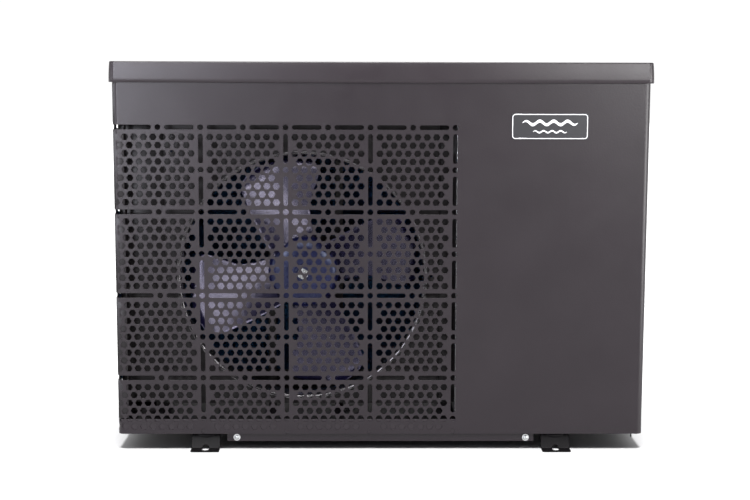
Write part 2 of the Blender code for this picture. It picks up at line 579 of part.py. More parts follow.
vx, vy, vz = VALVE
valve = cylinder("four_way_valve", 0.0130, (vx - 0.060, vy, vz), 0.120, "+X", 16)
combine(valve, cylinder("valve_top", 0.0060, (vx, vy, vz), 0.030, segments=12),
        *[cylinder(f"valve_low_{i}", 0.0080, (vx + dx, vy, vz - 0.035), 0.035, segments=12) for i, dx in enumerate((-0.030, 0.0, 0.030))],
        box("valve_solenoid", (vx - 0.016, vy - 0.046, vz - 0.014), (vx + 0.016, vy - 0.010, vz + 0.014), 0.003))
put(valve, (0.60, 0.42, 0.18), 0.35, 0.9)
put(tube("discharge_pipe", rounded_route([(COMP_X, COMP_Y, 0.3153), (COMP_X, COMP_Y, 0.470), (vx, vy, 0.470), (vx, vy, vz + 0.0303)], 0.018, 4), 0.0060), COPPER, 0.35, 0.9)
put(tube("suction_pipe", rounded_route([(vx, vy, vz - 0.0353), (vx, vy, 0.310), (ACC_X, ACC_Y, 0.310), (ACC_X, ACC_Y, 0.2623)], 0.014), 0.0070), COPPER, 0.35, 0.9)
EEV = (0.236, 0.104)
eev = cylinder("expansion_valve", 0.0100, (*EEV, 0.270), 0.050, segments=14)
combine(eev, cylinder("eev_head", 0.0180, (*EEV, 0.296), 0.026, segments=18), cylinder("eev_low", 0.0045, (*EEV, 0.250), 0.03, segments=10),
        cylinder("eev_side", 0.0045, (EEV[0], EEV[1], 0.281), 0.022, "-X", 10))
put(eev, (0.60, 0.42, 0.18), 0.35, 0.9)
put(tube("liquid_pipe", rounded_route([(EEV[0] - 0.0223, EEV[1], 0.281), (EEV[0] - 0.045, EEV[1], 0.281), (EEV[0] - 0.045, EEV[1], 0.075), (0.168, 0.128, 0.075), (0.1203, 0.128, 0.075)], 0.012), 0.0045), COPPER, 0.35, 0.9)

# ---------------------------------------------------------------- water heat exchanger
shell = turned("exchanger_shell", [(0, 0.0278), (EXCH_R, 0.0278), (EXCH_R, 0.448), (EXCH_R - 0.005, 0.448), (EXCH_R - 0.005, 0.033), (0, 0.033)],
               (EXCH_X, EXCH_Y, 0), steps=28)
for name, z in PORT_Z.items():
    cut(shell, cylinder(f"shell_port_{name}", 0.0257, (EXCH_X, EXCH_Y + 0.03, z), 0.06, "+Y", 24))
put(shell, PVC, 0.4)
cap = turned("exchanger_cap", [(0, 0.4550), (EXCH_R + 0.004, 0.4550), (EXCH_R + 0.004, 0.4280), (EXCH_R + GAP, 0.4280), (EXCH_R + GAP, 0.4483), (0, 0.4483)],
             (EXCH_X, EXCH_Y, 0), steps=28)
cut(cap, cylinder("cap_hole_0", 0.0060, (EXCH_X, EXCH_Y, 0.44), 0.03, segments=12),
    cylinder("cap_hole_1", 0.0060, (EXCH_X - 0.048, EXCH_Y, 0.44), 0.03, segments=12))
put(cap, PVC, 0.4)
turns, per_turn, helix_r = 5, 10, 0.048
helix = []
for i in range(turns * per_turn + 1):
    a = math.pi + 2 * math.pi * i / per_turn
    helix.append((EXCH_X + helix_r * math.cos(a), EXCH_Y + helix_r * math.sin(a), 0.420 - 0.360 * i / (turns * per_turn)))
tail_in = [(vx + 0.030, vy, vz - 0.0353), (vx + 0.030, vy, 0.345), (0.2550, -0.030, 0.345), (0.2550, -0.030, 0.4780), (EXCH_X - 0.048, EXCH_Y, 0.4780), (EXCH_X - 0.048, EXCH_Y, 0.440)]
tail_out = [(EXCH_X - 0.020, EXCH_Y, 0.055), (EXCH_X, EXCH_Y, 0.065), (EXCH_X, EXCH_Y, 0.4780), (0.262, 0.134, 0.4780), (0.262, 0.134, 0.230), (EEV[0], EEV[1], 0.230), (EEV[0], EEV[1], 0.2497)]
put(tube("titanium_coil", rounded_route(tail_in, 0.010, 2) + helix + rounded_route(tail_out, 0.010, 2), 0.0050), (0.45, 0.44, 0.42), 0.35, 0.9)

for name, z in PORT_Z.items():
    put(turned(f"water_{name}_pipe", [(0.0210, 0.1136), (0.0250, 0.1136), (0.0250, 0.1580), (0.0310, 0.1580), (0.0310, 0.1630), (0.0210, 0.1630)],
               (EXCH_X, 0, z), "+Y", 24), PVC, 0.4)
    put(turned(f"union_nut_{name}", [(0.0254, 0.1480), (0.0370, 0.1480), (0.0370, FOOT_D / 2), (0.0315, FOOT_D / 2), (0.0315, 0.1576), (0.0254, 0.1576)],
               (EXCH_X, 0, z), "+Y", 24), (0.03, 0.03, 0.035), 0.5)
# flow switch screwed into the front of the exchanger shell
fs = cylinder("flow_switch", 0.0090, (EXCH_X, EXCH_Y - EXCH_R - 0.0006, 0.150), 0.020, "-Y", 12)
combine(fs, box("flow_switch_case", (EXCH_X - 0.016, EXCH_Y - EXCH_R - 0.060, 0.130), (EXCH_X + 0.016, EXCH_Y - EXCH_R - 0.018, 0.170), 0.003))
put(fs, (0.5, 0.05, 0.04), 0.4)

# ---------------------------------------------------------------- electrical box
ex0, ex1, ey0, ey1, ez0, ez1 = 0.1320, 0.4100, -0.1380, 0.1050, 0.5000, 0.5980
tray = box("control_box", (ex0, ey0, ez0), (ex1, ey1, ez1))
cut(tray, box("control_hollow", (ex0 + 0.0012, ey0 + 0.0012, ez0 + 0.0012), (ex1 - 0.0012, ey1 - 0.0012, ez1 + 0.02)),
    cylinder("control_entry", 0.010, (GLAND[0], ey1 - 0.01, GLAND[1]), 0.02, "+Y", 12))
put(tray, ZINC, 0.45, 0.8)
cover = box("control_box_cover", (ex0 - 0.0014, ey0 - 0.0014, ez1 - 0.010), (ex1 + 0.0014, ey1 + 0.0014, ez1 + 0.0016))
cut(cover, box("cover_hollow", (ex0 - GAP, ey0 - GAP, ez1 - 0.03), (ex1 + GAP, ey1 + GAP, ez1 + GAP)))
put(cover, ZINC, 0.45, 0.8)
board = box("circuit_board", (0.150, -0.120, 0.5140), (0.330, 0.040, 0.5156))
combine(board, *[cylinder(f"capacitor_{i}", 0.0150, (0.180 + 0.036 * i, -0.090, 0.5150), 0.045, segments=10) for i in range(3)],
        box("choke", (0.170, -0.045, 0.515), (0.230, 0.005, 0.550), 0.004), box("relay", (0.255, -0.040, 0.515), (0.285, -0.020, 0.535)),
        *[cylinder(f"board_post_{i}", 0.004, (x, y, 0.5016), 0.0135, segments=8) for i, (x, y) in enumerate(((0.156, -0.114), (0.324, -0.114), (0.156, 0.034), (0.324, 0.034)))])
put(board, (0.02, 0.16, 0.08), 0.5)
block = box("terminal_block", (0.150, 0.062, 0.5016), (0.250, 0.086, 0.5220), 0.001)
for i in range(5):
    cut(block, box(f"terminal_well_{i}", (0.1545 + 0.019 * i, 0.058, 0.5120), (0.1695 + 0.019 * i, 0.072, 0.5300)))
put(block, (0.75, 0.74, 0.70), 0.5)
put(turned("cable_gland", [(0.0055, 0.1380), (0.0080, 0.1380), (0.0080, 0.1453), (0.0130, 0.1453), (0.0130, 0.1510), (0.0118, 0.1530), (0.0118, 0.1630), (0.0085, 0.1690), (0.0055, 0.1690)],
           (GLAND[0], 0, GLAND[1]), "+Y", 12), BLACK, 0.5)

# ---------------------------------------------------------------- controller in the right side
face = half + GAP
cy, cz = CTRL_Y, CTRL_Z
bezel = box("controller_bezel", (0.4240, cy - 0.0755, cz - 0.0505), (face + 0.0017, cy + 0.0755, cz + 0.0505))
combine(bezel, box("bezel_flange", (face, cy - 0.0830, cz - 0.0570), (face + 0.0017, cy + 0.0830, cz + 0.0570)),
        *[box(f"hinge_ear_{i}", (face + 0.0010, y0, cz + 0.0490), (face + 0.0043, y0 + 0.0035, cz + 0.0562)) for i, y0 in enumerate((cy - 0.0795, cy + 0.0760))])
cut(bezel, box("bezel_hollow", (0.4260, cy - 0.0720, cz - 0.0470), (0.4600, cy + 0.0720, cz + 0.0470)),
    cylinder("hinge_bore", 0.0015, (face + 0.0026, cy - 0.090, cz + 0.0526), 0.180, "+Y", 10))
BUTTONS = {"power": -0.045, "mode": -0.015, "up": 0.015, "down": 0.045}
for name, dy in BUTTONS.items():
    cut(bezel, cylinder(f"button_hole_{name}", 0.0064, (0.42, cy + dy, cz - 0.027), 0.02, "+X", 16))
put(bezel, BLACK, 0.4)
put(box("controller_display", (0.4263, cy - 0.0520, cz - 0.0060), (0.4290, cy + 0.0520, cz + 0.0380), 0.0008, 1), (0.01, 0.012, 0.015), 0.1)
for name, dy in BUTTONS.items():
    put(turned(f"button_{name}", [(0, 0.0), (0.0080, 0.0), (0.0080, 0.0022), (0.0060, 0.0022), (0.0060, 0.0088), (0.0052, 0.0096), (0, 0.0098)],
               (0.4215, cy + dy, cz - 0.027), "+X", 12), (0.25, 0.26, 0.27), 0.5)
door = box("controller_cover", (face + 0.0021, cy - 0.0745, cz - 0.0520), (face + 0.0041, cy + 0.0745, cz + 0.0535), 0.0006, 1)
combine(door, cylinder("cover_pintle", 0.0011, (face + 0.0026, cy - 0.0790, cz + 0.0526), 0.1580, "+Y", 8))
put(door, (0.02, 0.02, 0.024), 0.15)

# ---------------------------------------------------------------- pressure gauge in the right side
gauge = turned("gauge_case",
               [(0, 0.4160), (0.0290, 0.4160), (0.0305, 0.4180), (0.0305, face), (0.0345, face), (0.0345, face + 0.0015), (0.0320, face + 0.0030), (0.0285, face + 0.0030),
                (0.0285, 0.4360), (0, 0.4360)], (0, GAUGE_Y, GAUGE_Z), "+X", 22)
put(gauge, (0.05, 0.05, 0.055), 0.3, 0.5)
put(cylinder("gauge_lens", 0.0279, (0.4410, GAUGE_Y, GAUGE_Z), 0.0018, "+X", 22), (0.8, 0.85, 0.85), 0.05)
needle = cylinder("gauge_needle", 0.0030, (0.4364, GAUGE_Y, GAUGE_Z), 0.0030, "+X", 12)
pointer = box("gauge_pointer", (-0.0004, -0.0060, -0.0006), (0.0004, 0.0220, 0.0006))
pointer.data.transform(Matrix.Rotation(math.radians(117), 4, "X") @ Matrix.Translation((0, 0.0080, 0)))
pointer.location = (0.4384, GAUGE_Y, GAUGE_Z)
combine(needle, pointer)
put(needle, (0.6, 0.03, 0.02), 0.4)
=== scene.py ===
"""Pool heat pump unit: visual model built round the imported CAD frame."""

import math
import random

import bmesh
import bpy
import numpy as np
from mathutils import Matrix, Vector
from mathutils.geometry import delaunay_2d_cdt


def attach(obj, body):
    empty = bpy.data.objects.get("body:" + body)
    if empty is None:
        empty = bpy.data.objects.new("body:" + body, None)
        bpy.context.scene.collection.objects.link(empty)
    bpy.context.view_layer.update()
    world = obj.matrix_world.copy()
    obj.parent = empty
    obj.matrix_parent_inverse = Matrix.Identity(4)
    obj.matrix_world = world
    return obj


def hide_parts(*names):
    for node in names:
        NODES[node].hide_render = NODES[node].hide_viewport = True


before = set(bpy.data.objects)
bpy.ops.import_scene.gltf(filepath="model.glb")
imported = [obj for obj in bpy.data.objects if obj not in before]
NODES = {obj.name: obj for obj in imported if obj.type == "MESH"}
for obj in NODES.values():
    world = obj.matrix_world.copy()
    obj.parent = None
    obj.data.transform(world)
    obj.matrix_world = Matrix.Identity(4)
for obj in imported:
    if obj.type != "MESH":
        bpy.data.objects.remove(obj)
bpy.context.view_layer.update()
PI = math.pi

# ------------------------------------------------------------------ sizes, metres, row frame
HALF_W, HALF_D = 0.442, 0.145          # cabinet outside, half width and half depth
CORNER_R = 0.010
BODY_Z0, BODY_Z1 = 0.026, 0.6464
SHEET_T = 0.0010
CELL = 0.13967                         # pitch of the slot grid
HEX_A = CELL / 9                       # pitch of the hexagons along a row
HEX_ROW = HEX_A * 0.8660254
HEX_R = 0.00635                        # centre to vertex
DOT_R = 0.0050
SLOT_L, SLOT_W = 0.0492, 0.0081
LINE_X = (-0.2978, -0.1581, -0.0185, 0.1212)
LINE_Z = (0.5410, 0.4014, 0.2617, 0.1220)
FAN_X, FAN_Z = -0.1326, 0.2900
ARC = CORNER_R * PI / 2
SIDE_LINES = (LINE_X[0] - 14 * HEX_A, LINE_X[0] - 14 * HEX_A - CELL)


# ------------------------------------------------------------------ small mesh helpers
def link(ob):
    bpy.context.scene.collection.objects.link(ob)
    return ob


def finish_piece(ob, body, mats, replaces=()):
    for m in mats if isinstance(mats, (list, tuple)) else [mats]:
        ob.data.materials.append(m)
    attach(ob, body)
    if replaces:
        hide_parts(*replaces)
    return ob


def mesh_piece(name, verts, faces, body, mats, slot=None, replaces=(), smooth=35, face_mat=None, recalc=True, bevel=None):
    me = bpy.data.meshes.new(name)
    me.from_pydata([tuple(v) for v in verts], [], [tuple(f) for f in faces])
    bm = bmesh.new()
    bm.from_mesh(me)
    if face_mat is not None:
        bm.faces.ensure_lookup_table()
        for i, f in enumerate(bm.faces):
            f.material_index = face_mat[i]
    bmesh.ops.remove_doubles(bm, verts=bm.verts, dist=1e-7)
    if recalc:
        bmesh.ops.recalc_face_normals(bm, faces=bm.faces)
    if bevel:
        width, segs = bevel
        edges = [e for e in bm.edges if len(e.link_faces) == 2 and e.calc_face_angle(0) > math.radians(30)]
        bmesh.ops.bevel(bm, geom=edges, offset=width, segments=segs, profile=0.5, affect="EDGES", clamp_overlap=True)
    bm.to_mesh(me)
    bm.free()
    if smooth:
        me.polygons.foreach_set("use_smooth", [True] * len(me.polygons))
        me.set_sharp_from_angle(angle=math.radians(smooth))
    ob = link(bpy.data.objects.new(name, me))
    return finish_piece(ob, body, mats, replaces)


class Build:
    """Collects verts and faces for one piece."""

    def __init__(self):
        self.v, self.f, self.m = [], [], []

    def add(self, verts, faces, mat=0):
        k = len(self.v)
        self.v += [Vector(p) for p in verts]
        self.f += [[k + i for i in f] for f in faces]
        self.m += [mat] * len(faces)
        return self

    def piece(self, name, body, mats, **kw):
        return mesh_piece(name, self.v, self.f, body, mats, face_mat=self.m, **kw)


def axes(direction, up=None):
    """Two unit vectors square to direction."""
    d = Vector(direction).normalized()
    u = Vector(up) if up is not None else (Vector((0, 0, 1)) if abs(d.z) < 0.9 else Vector((1, 0, 0)))
    a = (u - d * u.dot(d)).normalized()
    return a, d.cross(a), d


def ring(center, a, b, r, n, phase=0.0):
    return [center + a * (r * math.cos(phase + 2 * PI * i / n)) + b * (r * math.sin(phase + 2 * PI * i / n)) for i in range(n)]


def lathe(profile, origin, direction, n=48, mat=0, phase=0.0, closed=False, up=None):
    """Revolves (radius, height) points about direction from origin. Radius 0 closes to a point."""
    a, b, d = axes(direction, up)
    origin = Vector(origin)
    verts, rings = [], []
    for r, h in profile:
        c = origin + d * h
        if r < 1e-9:
            rings.append([len(verts)])
            verts.append(c)
        else:
            rings.append(list(range(len(verts), len(verts) + n)))
            verts += ring(c, a, b, r, n, phase)
    faces = []
    pairs = list(zip(rings, rings[1:])) + ([(rings[-1], rings[0])] if closed else [])
    for p, q in pairs:
        for i in range(n):
            j = (i + 1) % n
            if len(p) == 1 and len(q) == 1:
                continue
            if len(p) == 1:
                faces.append([p[0], q[j], q[i]])
            elif len(q) == 1:
                faces.append([p[i], p[j], q[0]])
            else:
                faces.append([p[i], p[j], q[j], q[i]])
    return verts, faces


def sweep(path, r, n=12, closed=False, caps=True):
    """A round tube along path, with its frame carried along."""
    pts = [Vector(p) for p in path]
    m = len(pts)
    tang = []
    for i in range(m):
        if closed:
            t = pts[(i + 1) % m] - pts[(i - 1) % m]
        else:
            t = pts[min(i + 1, m - 1)] - pts[max(i - 1, 0)]
        tang.append(t.normalized())
    a, b, _ = axes(tang[0])
    verts, faces = [], []
    for i in range(m):
        if i:
            a = (a - tang[i] * a.dot(tang[i])).normalized()
            b = tang[i].cross(a)
        verts += ring(pts[i], a, b, r if not callable(r) else r(i / (m - 1)), n)
    last = m if closed else m - 1
    for i in range(last):
        p, q = i * n, ((i + 1) % m) * n
        for k in range(n):
            j = (k + 1) % n
            faces.append([p + k, p + j, q + j, q + k])
    if caps and not closed:
        faces.append(list(range(n))[::-1])
        faces.append([(m - 1) * n + k for k in range(n)])
    return verts, faces


def block(lo, hi, chamfer=0.0):
    """A box whose edges are chamfered, as verts and faces."""
    bm = bmesh.new()
    bmesh.ops.create_cube(bm, size=1.0)
    for v in bm.verts:
        v.co = Vector([lo[k] + (v.co[k] + 0.5) * (hi[k] - lo[k]) for k in range(3)])
    if chamfer:
        bmesh.ops.bevel(bm, geom=list(bm.edges), offset=chamfer, segments=2, profile=0.5, affect="EDGES", clamp_overlap=True)
    bm.verts.index_update()
    verts = [v.co.copy() for v in bm.verts]
    faces = [[v.index for v in f.verts] for f in bm.faces]
    bm.free()
    return verts, faces


def rounded_rect(hw, hh, r, n=8, cx=0.0, cy=0.0):
    pts = []
    for sx, sy, a0 in ((1, -1, -PI / 2), (1, 1, 0), (-1, 1, PI / 2), (-1, -1, PI)):
        for i in range(n + 1):
            a = a0 + PI / 2 * i / n
            pts.append((cx + sx * (hw - r) + r * math.cos(a), cy + sy * (hh - r) + r * math.sin(a)))
    return pts


def circle2(r, n, cx=0.0, cy=0.0, phase=0.0):
    return [(cx + r * math.cos(phase + 2 * PI * i / n), cy + r * math.sin(phase + 2 * PI * i / n)) for i in range(n)]


def slot2(cx, cy, length, width, vertical=False, n=6, ends=(True, True)):
    """A slot with round ends, anticlockwise."""
    r, h = width / 2, length / 2 - width / 2
    pts = []
    for i in range(n + 1):
        a = -PI / 2 + PI * i / n
        pts.append((h + r * math.cos(a), r * math.sin(a)) if ends[1] else (length / 2, r * math.sin(a)))
    for i in range(n + 1):
        a = PI / 2 + PI * i / n
        pts.append((-h + r * math.cos(a), r * math.sin(a)) if ends[0] else (-length / 2, r * math.sin(a)))
    if vertical:
        pts = [(-y, x) for x, y in pts]
    return [(cx + x, cy + y) for x, y in pts]


# ------------------------------------------------------------------ bent perforated sheet
def bend(u):
    """Where the unrolled sheet position u lies: (x, y, outward normal). u is x on the front and runs on round both corners."""
    f = HALF_W - CORNER_R
    if -f <= u <= f:
        return u, -HALF_D, (0.0, -1.0)
    sgn = -1 if u < 0 else 1
    s = abs(u) - f
    if s < ARC:
        t = s / CORNER_R
        return (sgn * (f + CORNER_R * math.sin(t)), -(HALF_D - CORNER_R) - CORNER_R * math.cos(t), (sgn * math.sin(t), -math.cos(t)))
    s -= ARC
    g = 2 * (HALF_D - CORNER_R)
    if s <= g:
        return sgn * HALF_W, -(HALF_D - CORNER_R) + s, (float(sgn), 0.0)
    s -= g
    if s < ARC:
        t = s / CORNER_R
        return (sgn * (f + CORNER_R * math.cos(t)), (HALF_D - CORNER_R) + CORNER_R * math.sin(t), (sgn * math.cos(t), math.sin(t)))
    s -= ARC
    return sgn * (f - s), HALF_D, (0.0, 1.0)


def unroll_side(y):
    """u on the left side at depth y."""
    return -(HALF_W - CORNER_R + ARC + (y + HALF_D - CORNER_R))


def cut_sheet(outline, holes, bend_lines, lift=None, thick=SHEET_T, roll=0.00020):
    """Verts, faces and loop normals of a punched sheet with rolled-over hole edges on its outer face.
    Works in unrolled (u, z); lift maps (u, z, depth) to a point and an outward normal."""
    S = 1000.0
    coords, faces = [], []
    for poly in [outline] + holes:
        k = len(coords)
        coords += [Vector((u * S, z * S)) for u, z in poly]
        faces.append(list(range(k, k + len(poly))))
    edges = []
    z0, z1 = min(p[1] for p in outline), max(p[1] for p in outline)
    for u in bend_lines:
        k = len(coords)
        coords += [Vector((u * S, z0 * S)), Vector((u * S, z1 * S))]
        edges.append((k, k + 1))
    vs, _, fs, _, _, of = delaunay_2d_cdt(coords, edges, faces, 0, 1e-4, True)
    keep = [f for f, o in zip(fs, of) if 0 in o and not any(i > 0 for i in o)]
    pts = np.array([(v.x / S, v.y / S) for v in vs])
    tri = []
    for f in keep:
        a, b, c = (pts[i] for i in f[:3])
        area = (b[0] - a[0]) * (c[1] - a[1]) - (b[1] - a[1]) * (c[0] - a[0])
        if abs(area) < 1e-13:
            continue
        tri.append(f if area > 0 else f[::-1])
    used = {}
    for f in tri:
        for i in range(len(f)):
            e = (f[i], f[(i + 1) % len(f)])
            used[e] = used.get(e, 0) + 1
    border = [e for e in used if (e[1], e[0]) not in used]
    off = {}
    for a, b in border:  # the hole lies to the right of a border edge
        d = pts[b] - pts[a]
        n = np.array((d[1], -d[0])) / max(np.hypot(*d), 1e-12)
        for i in (a, b):
            off.setdefault(i, []).append(n)
    shift = {}
    for i, ns in off.items():
        m = sum(ns)
        ln = np.hypot(*m)
        if ln < 1e-6:
            shift[i] = np.zeros(2)
        else:
            m = m / ln
            shift[i] = m * min(1.0 / max(m @ ns[0], 0.35), 1.6)
    if lift is None:
        def lift(u, z, d):
            x, y, n = bend(u)
            return Vector((x - n[0] * d, y - n[1] * d, z)), Vector((n[0], n[1], 0.0))
    ids = sorted({i for f in tri for i in f})
    verts, out, front, back, mid = [], {}, {}, {}, {}
    nrm = []
    for i in ids:
        p, n = lift(pts[i][0], pts[i][1], 0.0)
        front[i] = len(verts)
        verts.append(p)
        nrm.append(n)
    levels = ((0.30, 0.05), (0.75, 0.30), (1.0, 1.0))
    rings = [front]
    for sh, de in levels:
        lv = {}
        for i in shift:
            q = pts[i] + shift[i] * roll * sh
            p, n = lift(q[0], q[1], roll * de)
            lv[i] = len(verts)
            verts.append(p)
            nrm.append(n)
        rings.append(lv)
    for i in ids:
        q = pts[i] + (shift[i] * roll if i in shift else 0)
        p, n = lift(q[0], q[1], thick)
        back[i] = len(verts)
        verts.append(p)
        nrm.append(n)
    F, N = [], []

    def side(i, deg):
        """Normal on the rolled edge: from the face's normal towards the hole."""
        p, n = lift(pts[i][0], pts[i][1], 0.0)
        q, _ = lift(pts[i][0] + shift[i][0] * 1e-4, pts[i][1] + shift[i][1] * 1e-4, 0.0)
        t = (q - p).normalized()
        a = math.radians(deg)
        return n * math.cos(a) + t * math.sin(a)

    for f in tri:
        F.append([front[i] for i in f])
        N.append([nrm[front[i]] for i in f])
        F.append([back[i] for i in f][::-1])
        N.append([-nrm[back[i]] for i in f][::-1])
    degs = (8, 35, 62, 90)
    for a, b in border:
        seq = rings + [back]
        for k in range(len(seq) - 1):
            p, q = seq[k], seq[k + 1]
            F.append([p[b], p[a], q[a], q[b]])
            if k < len(rings) - 1:
                N.append([side(b, degs[k]), side(a, degs[k]), side(a, degs[k + 1]), side(b, degs[k + 1])])
            else:
                N.append([side(b, 90), side(a, 90), side(a, 90), side(b, 90)])
    return verts, F, N


def sheet_piece(name, outline, holes, bend_lines, body, mats, lift=None, replaces=(), thick=SHEET_T, roll=0.00020):
    verts, faces, normals = cut_sheet(outline, holes, bend_lines, lift, thick, roll)
    me = bpy.data.meshes.new(name)
    me.from_pydata([tuple(v) for v in verts], [], faces)
    me.polygons.foreach_set("use_smooth", [True] * len(me.polygons))
    loops = [tuple(n) for f in normals for n in f]
    me.normals_split_custom_set(loops)
    ob = link(bpy.data.objects.new(name, me))
    return finish_piece(ob, body, mats, replaces)


def hexagon(u, z):
    return [(u + HEX_R * math.cos(PI / 3 * k), z + HEX_R * math.sin(PI / 3 * k)) for k in range(6)]


def row_zs():
    """Every hexagon row as (z, is_full_row), from the top slot line down."""
    rows = []
    for c, zt in enumerate(LINE_Z):
        n = 9 if c < 3 else 6
        for i in range(n):
            rows.append((zt - CELL / 2 + (4 - i) * HEX_ROW, i % 2 == 0, c))
    return rows


def cell_holes():
    """Hexagons of the front in its four cells, the run round the left corner, and the slots and dots of the grid."""
    holes = []
    for z, full, c in row_zs():
        for x in LINE_X:
            if full:
                ks = range(1, 9)
            else:
                ks = [k + 0.5 for k in range(1, 8)]
            if x == LINE_X[0]:
                ks = list(ks) + ([9, 10] if full else [8.5, 9.5])
            holes += [hexagon(x - k * HEX_A, z) for k in ks]
    for z in LINE_Z:
        for x in LINE_X:
            holes.append(circle2(DOT_R, 16, x, z))
            holes.append(circle2(DOT_R, 16, x - CELL / 2, z))
            holes.append(slot2(x - CELL / 4, z, SLOT_L, SLOT_W))
            if x == LINE_X[0]:  # the outer slot runs on round the corner
                r = x - CELL / 2 - 0.0104
                left = -(HALF_W - CORNER_R + ARC + 0.0085)
                holes.append(slot2((r + left) / 2, z, r - left, SLOT_W))
            else:
                holes.append(slot2(x - 3 * CELL / 4, z, SLOT_L, SLOT_W))
    for x in LINE_X:
        for i, z in enumerate(LINE_Z):
            holes.append(slot2(x, z - CELL / 4, SLOT_L, SLOT_W, vertical=True))
            holes.append(circle2(DOT_R, 16, x, z - CELL / 2))
            if i < 3:
                holes.append(slot2(x, z - 3 * CELL / 4, SLOT_L, SLOT_W, vertical=True))
            else:
                holes.append(slot2(x, 0.0305, 0.0095, SLOT_W, vertical=True, n=4))
    return holes


def arc_lines(u0, steps=9):
    return [u0 + ARC * i / steps for i in range(steps + 1)]


# ------------------------------------------------------------------ materials
def tree(name):
    m = bpy.data.materials.new(name)
    m.use_nodes = True
    nt = m.node_tree
    return m, nt, nt.nodes["Principled BSDF"]


def node(nt, kind, inputs=None, **props):
    n = nt.nodes.new(kind)
    for k, v in props.items():
        setattr(n, k, v)
    for k, v in (inputs or {}).items():
        n.inputs[k].default_value = v
    return n


def noise(nt, scale, detail=3.0, rough=0.5, vec=None, distortion=0.0):
    n = node(nt, "ShaderNodeTexNoise", {"Scale": scale, "Detail": detail, "Roughness": rough, "Distortion": distortion})
    nt.links.new(vec if vec is not None else object_coords(nt), n.inputs["Vector"])
    return n.outputs["Fac"]


def object_coords(nt):
    for n in nt.nodes:
        if n.type == "TEX_COORD":
            return n.outputs["Object"]
    return nt.nodes.new("ShaderNodeTexCoord").outputs["Object"]


def stretched(nt, scale):
    m = node(nt, "ShaderNodeMapping", {"Scale": scale})
    nt.links.new(object_coords(nt), m.inputs["Vector"])
    return m.outputs["Vector"]


def ramp(nt, fac, stops):
    r = nt.nodes.new("ShaderNodeValToRGB")
    r.color_ramp.elements[0].position, r.color_ramp.elements[0].color = stops[0][0], (*stops[0][1], 1)
    r.color_ramp.elements[1].position, r.color_ramp.elements[1].color = stops[-1][0], (*stops[-1][1], 1)
    for p, c in stops[1:-1]:
        r.color_ramp.elements.new(p).color = (*c, 1)
    nt.links.new(fac, r.inputs["Fac"])
    return r.outputs["Color"]


def remap(nt, fac, lo, hi, a=0.3, b=0.7):
    r = node(nt, "ShaderNodeMapRange", {"From Min": a, "From Max": b, "To Min": lo, "To Max": hi})
    nt.links.new(fac, r.inputs["Value"])
    return r.outputs["Result"]


def math_node(nt, op, a, b):
    m = node(nt, "ShaderNodeMath", operation=op)
    for i, x in enumerate((a, b)):
        if hasattr(x, "is_linked"):
            nt.links.new(x, m.inputs[i])
        else:
            m.inputs[i].default_value = x
    return m.outputs[0]


def bumped(nt, bsdf, height, strength, distance):
    b = node(nt, "ShaderNodeBump", {"Strength": strength, "Distance": distance})
    nt.links.new(height, b.inputs["Height"])
    nt.links.new(b.outputs["Normal"], bsdf.inputs["Normal"])
    return b


def powder(name, dark, light, rough=(0.42, 0.52), grain=1000.0, peel=330.0, strength=0.35, spec=0.5, dust=0.0):
    """Fine-textured powder coat: grain and orange peel in the bump, slow variation in colour and gloss."""
    m, nt, b = tree(name)
    slow = noise(nt, 9.0, 4.0, 0.6)
    nt.links.new(ramp(nt, slow, [(0.32, dark), (0.68, light)]), b.inputs["Base Color"])
    fine = noise(nt, grain, 2.0, 0.6)
    wide = noise(nt, peel, 1.0, 0.5)
    smudge = noise(nt, 16.0, 5.0, 0.62, distortion=0.6)
    nt.links.new(remap(nt, smudge, rough[0], rough[1]), b.inputs["Roughness"])
    height = math_node(nt, "ADD", math_node(nt, "MULTIPLY", fine, 0.45), wide)
    bumped(nt, b, height, strength, 0.00022)
    b.inputs["Specular IOR Level"].default_value = spec
    return m


def metal(name, dark, light, rough=(0.28, 0.42), grain=(400, 400, 40), strength=0.15, metallic=1.0, slow=25.0, spangle=False):
    """Sheet or turned metal with brushed or spangled variation."""
    m, nt, b = tree(name)
    b.inputs["Metallic"].default_value = metallic
    if spangle:
        v = node(nt, "ShaderNodeTexVoronoi", {"Scale": 110.0})
        nt.links.new(object_coords(nt), v.inputs["Vector"])
        s = node(nt, "ShaderNodeSeparateColor")
        nt.links.new(v.outputs["Color"], s.inputs["Color"])
        cells = s.outputs[0]
        mix = math_node(nt, "ADD", math_node(nt, "MULTIPLY", cells, 0.45), math_node(nt, "MULTIPLY", noise(nt, slow, 4.0, 0.6), 0.55))
    else:
        mix = noise(nt, slow, 5.0, 0.62)
    nt.links.new(ramp(nt, mix, [(0.3, dark), (0.7, light)]), b.inputs["Base Color"])
    nt.links.new(remap(nt, mix, rough[1], rough[0]), b.inputs["Roughness"])
    lines = noise(nt, 1.0, 3.0, 0.6, vec=stretched(nt, grain))
    bumped(nt, b, lines, strength, 0.00012)
    return m


def plastic(name, dark, light, rough=(0.35, 0.45), grain=700.0, strength=0.15, ior=1.5, tint=None, slow=14.0, spec=0.5):
    m, nt, b = tree(name)
    nt.links.new(ramp(nt, noise(nt, slow, 4.0, 0.55), [(0.3, dark), (0.7, light)]), b.inputs["Base Color"])
    nt.links.new(remap(nt, noise(nt, slow * 2.3, 5.0, 0.6, distortion=0.4), rough[0], rough[1]), b.inputs["Roughness"])
    bumped(nt, b, noise(nt, grain, 2.0, 0.55), strength, 0.00012)
    b.inputs["IOR"].default_value = ior
    b.inputs["Specular IOR Level"].default_value = spec
    if tint:
        b.inputs["Specular Tint"].default_value = (*tint, 1)
    return m


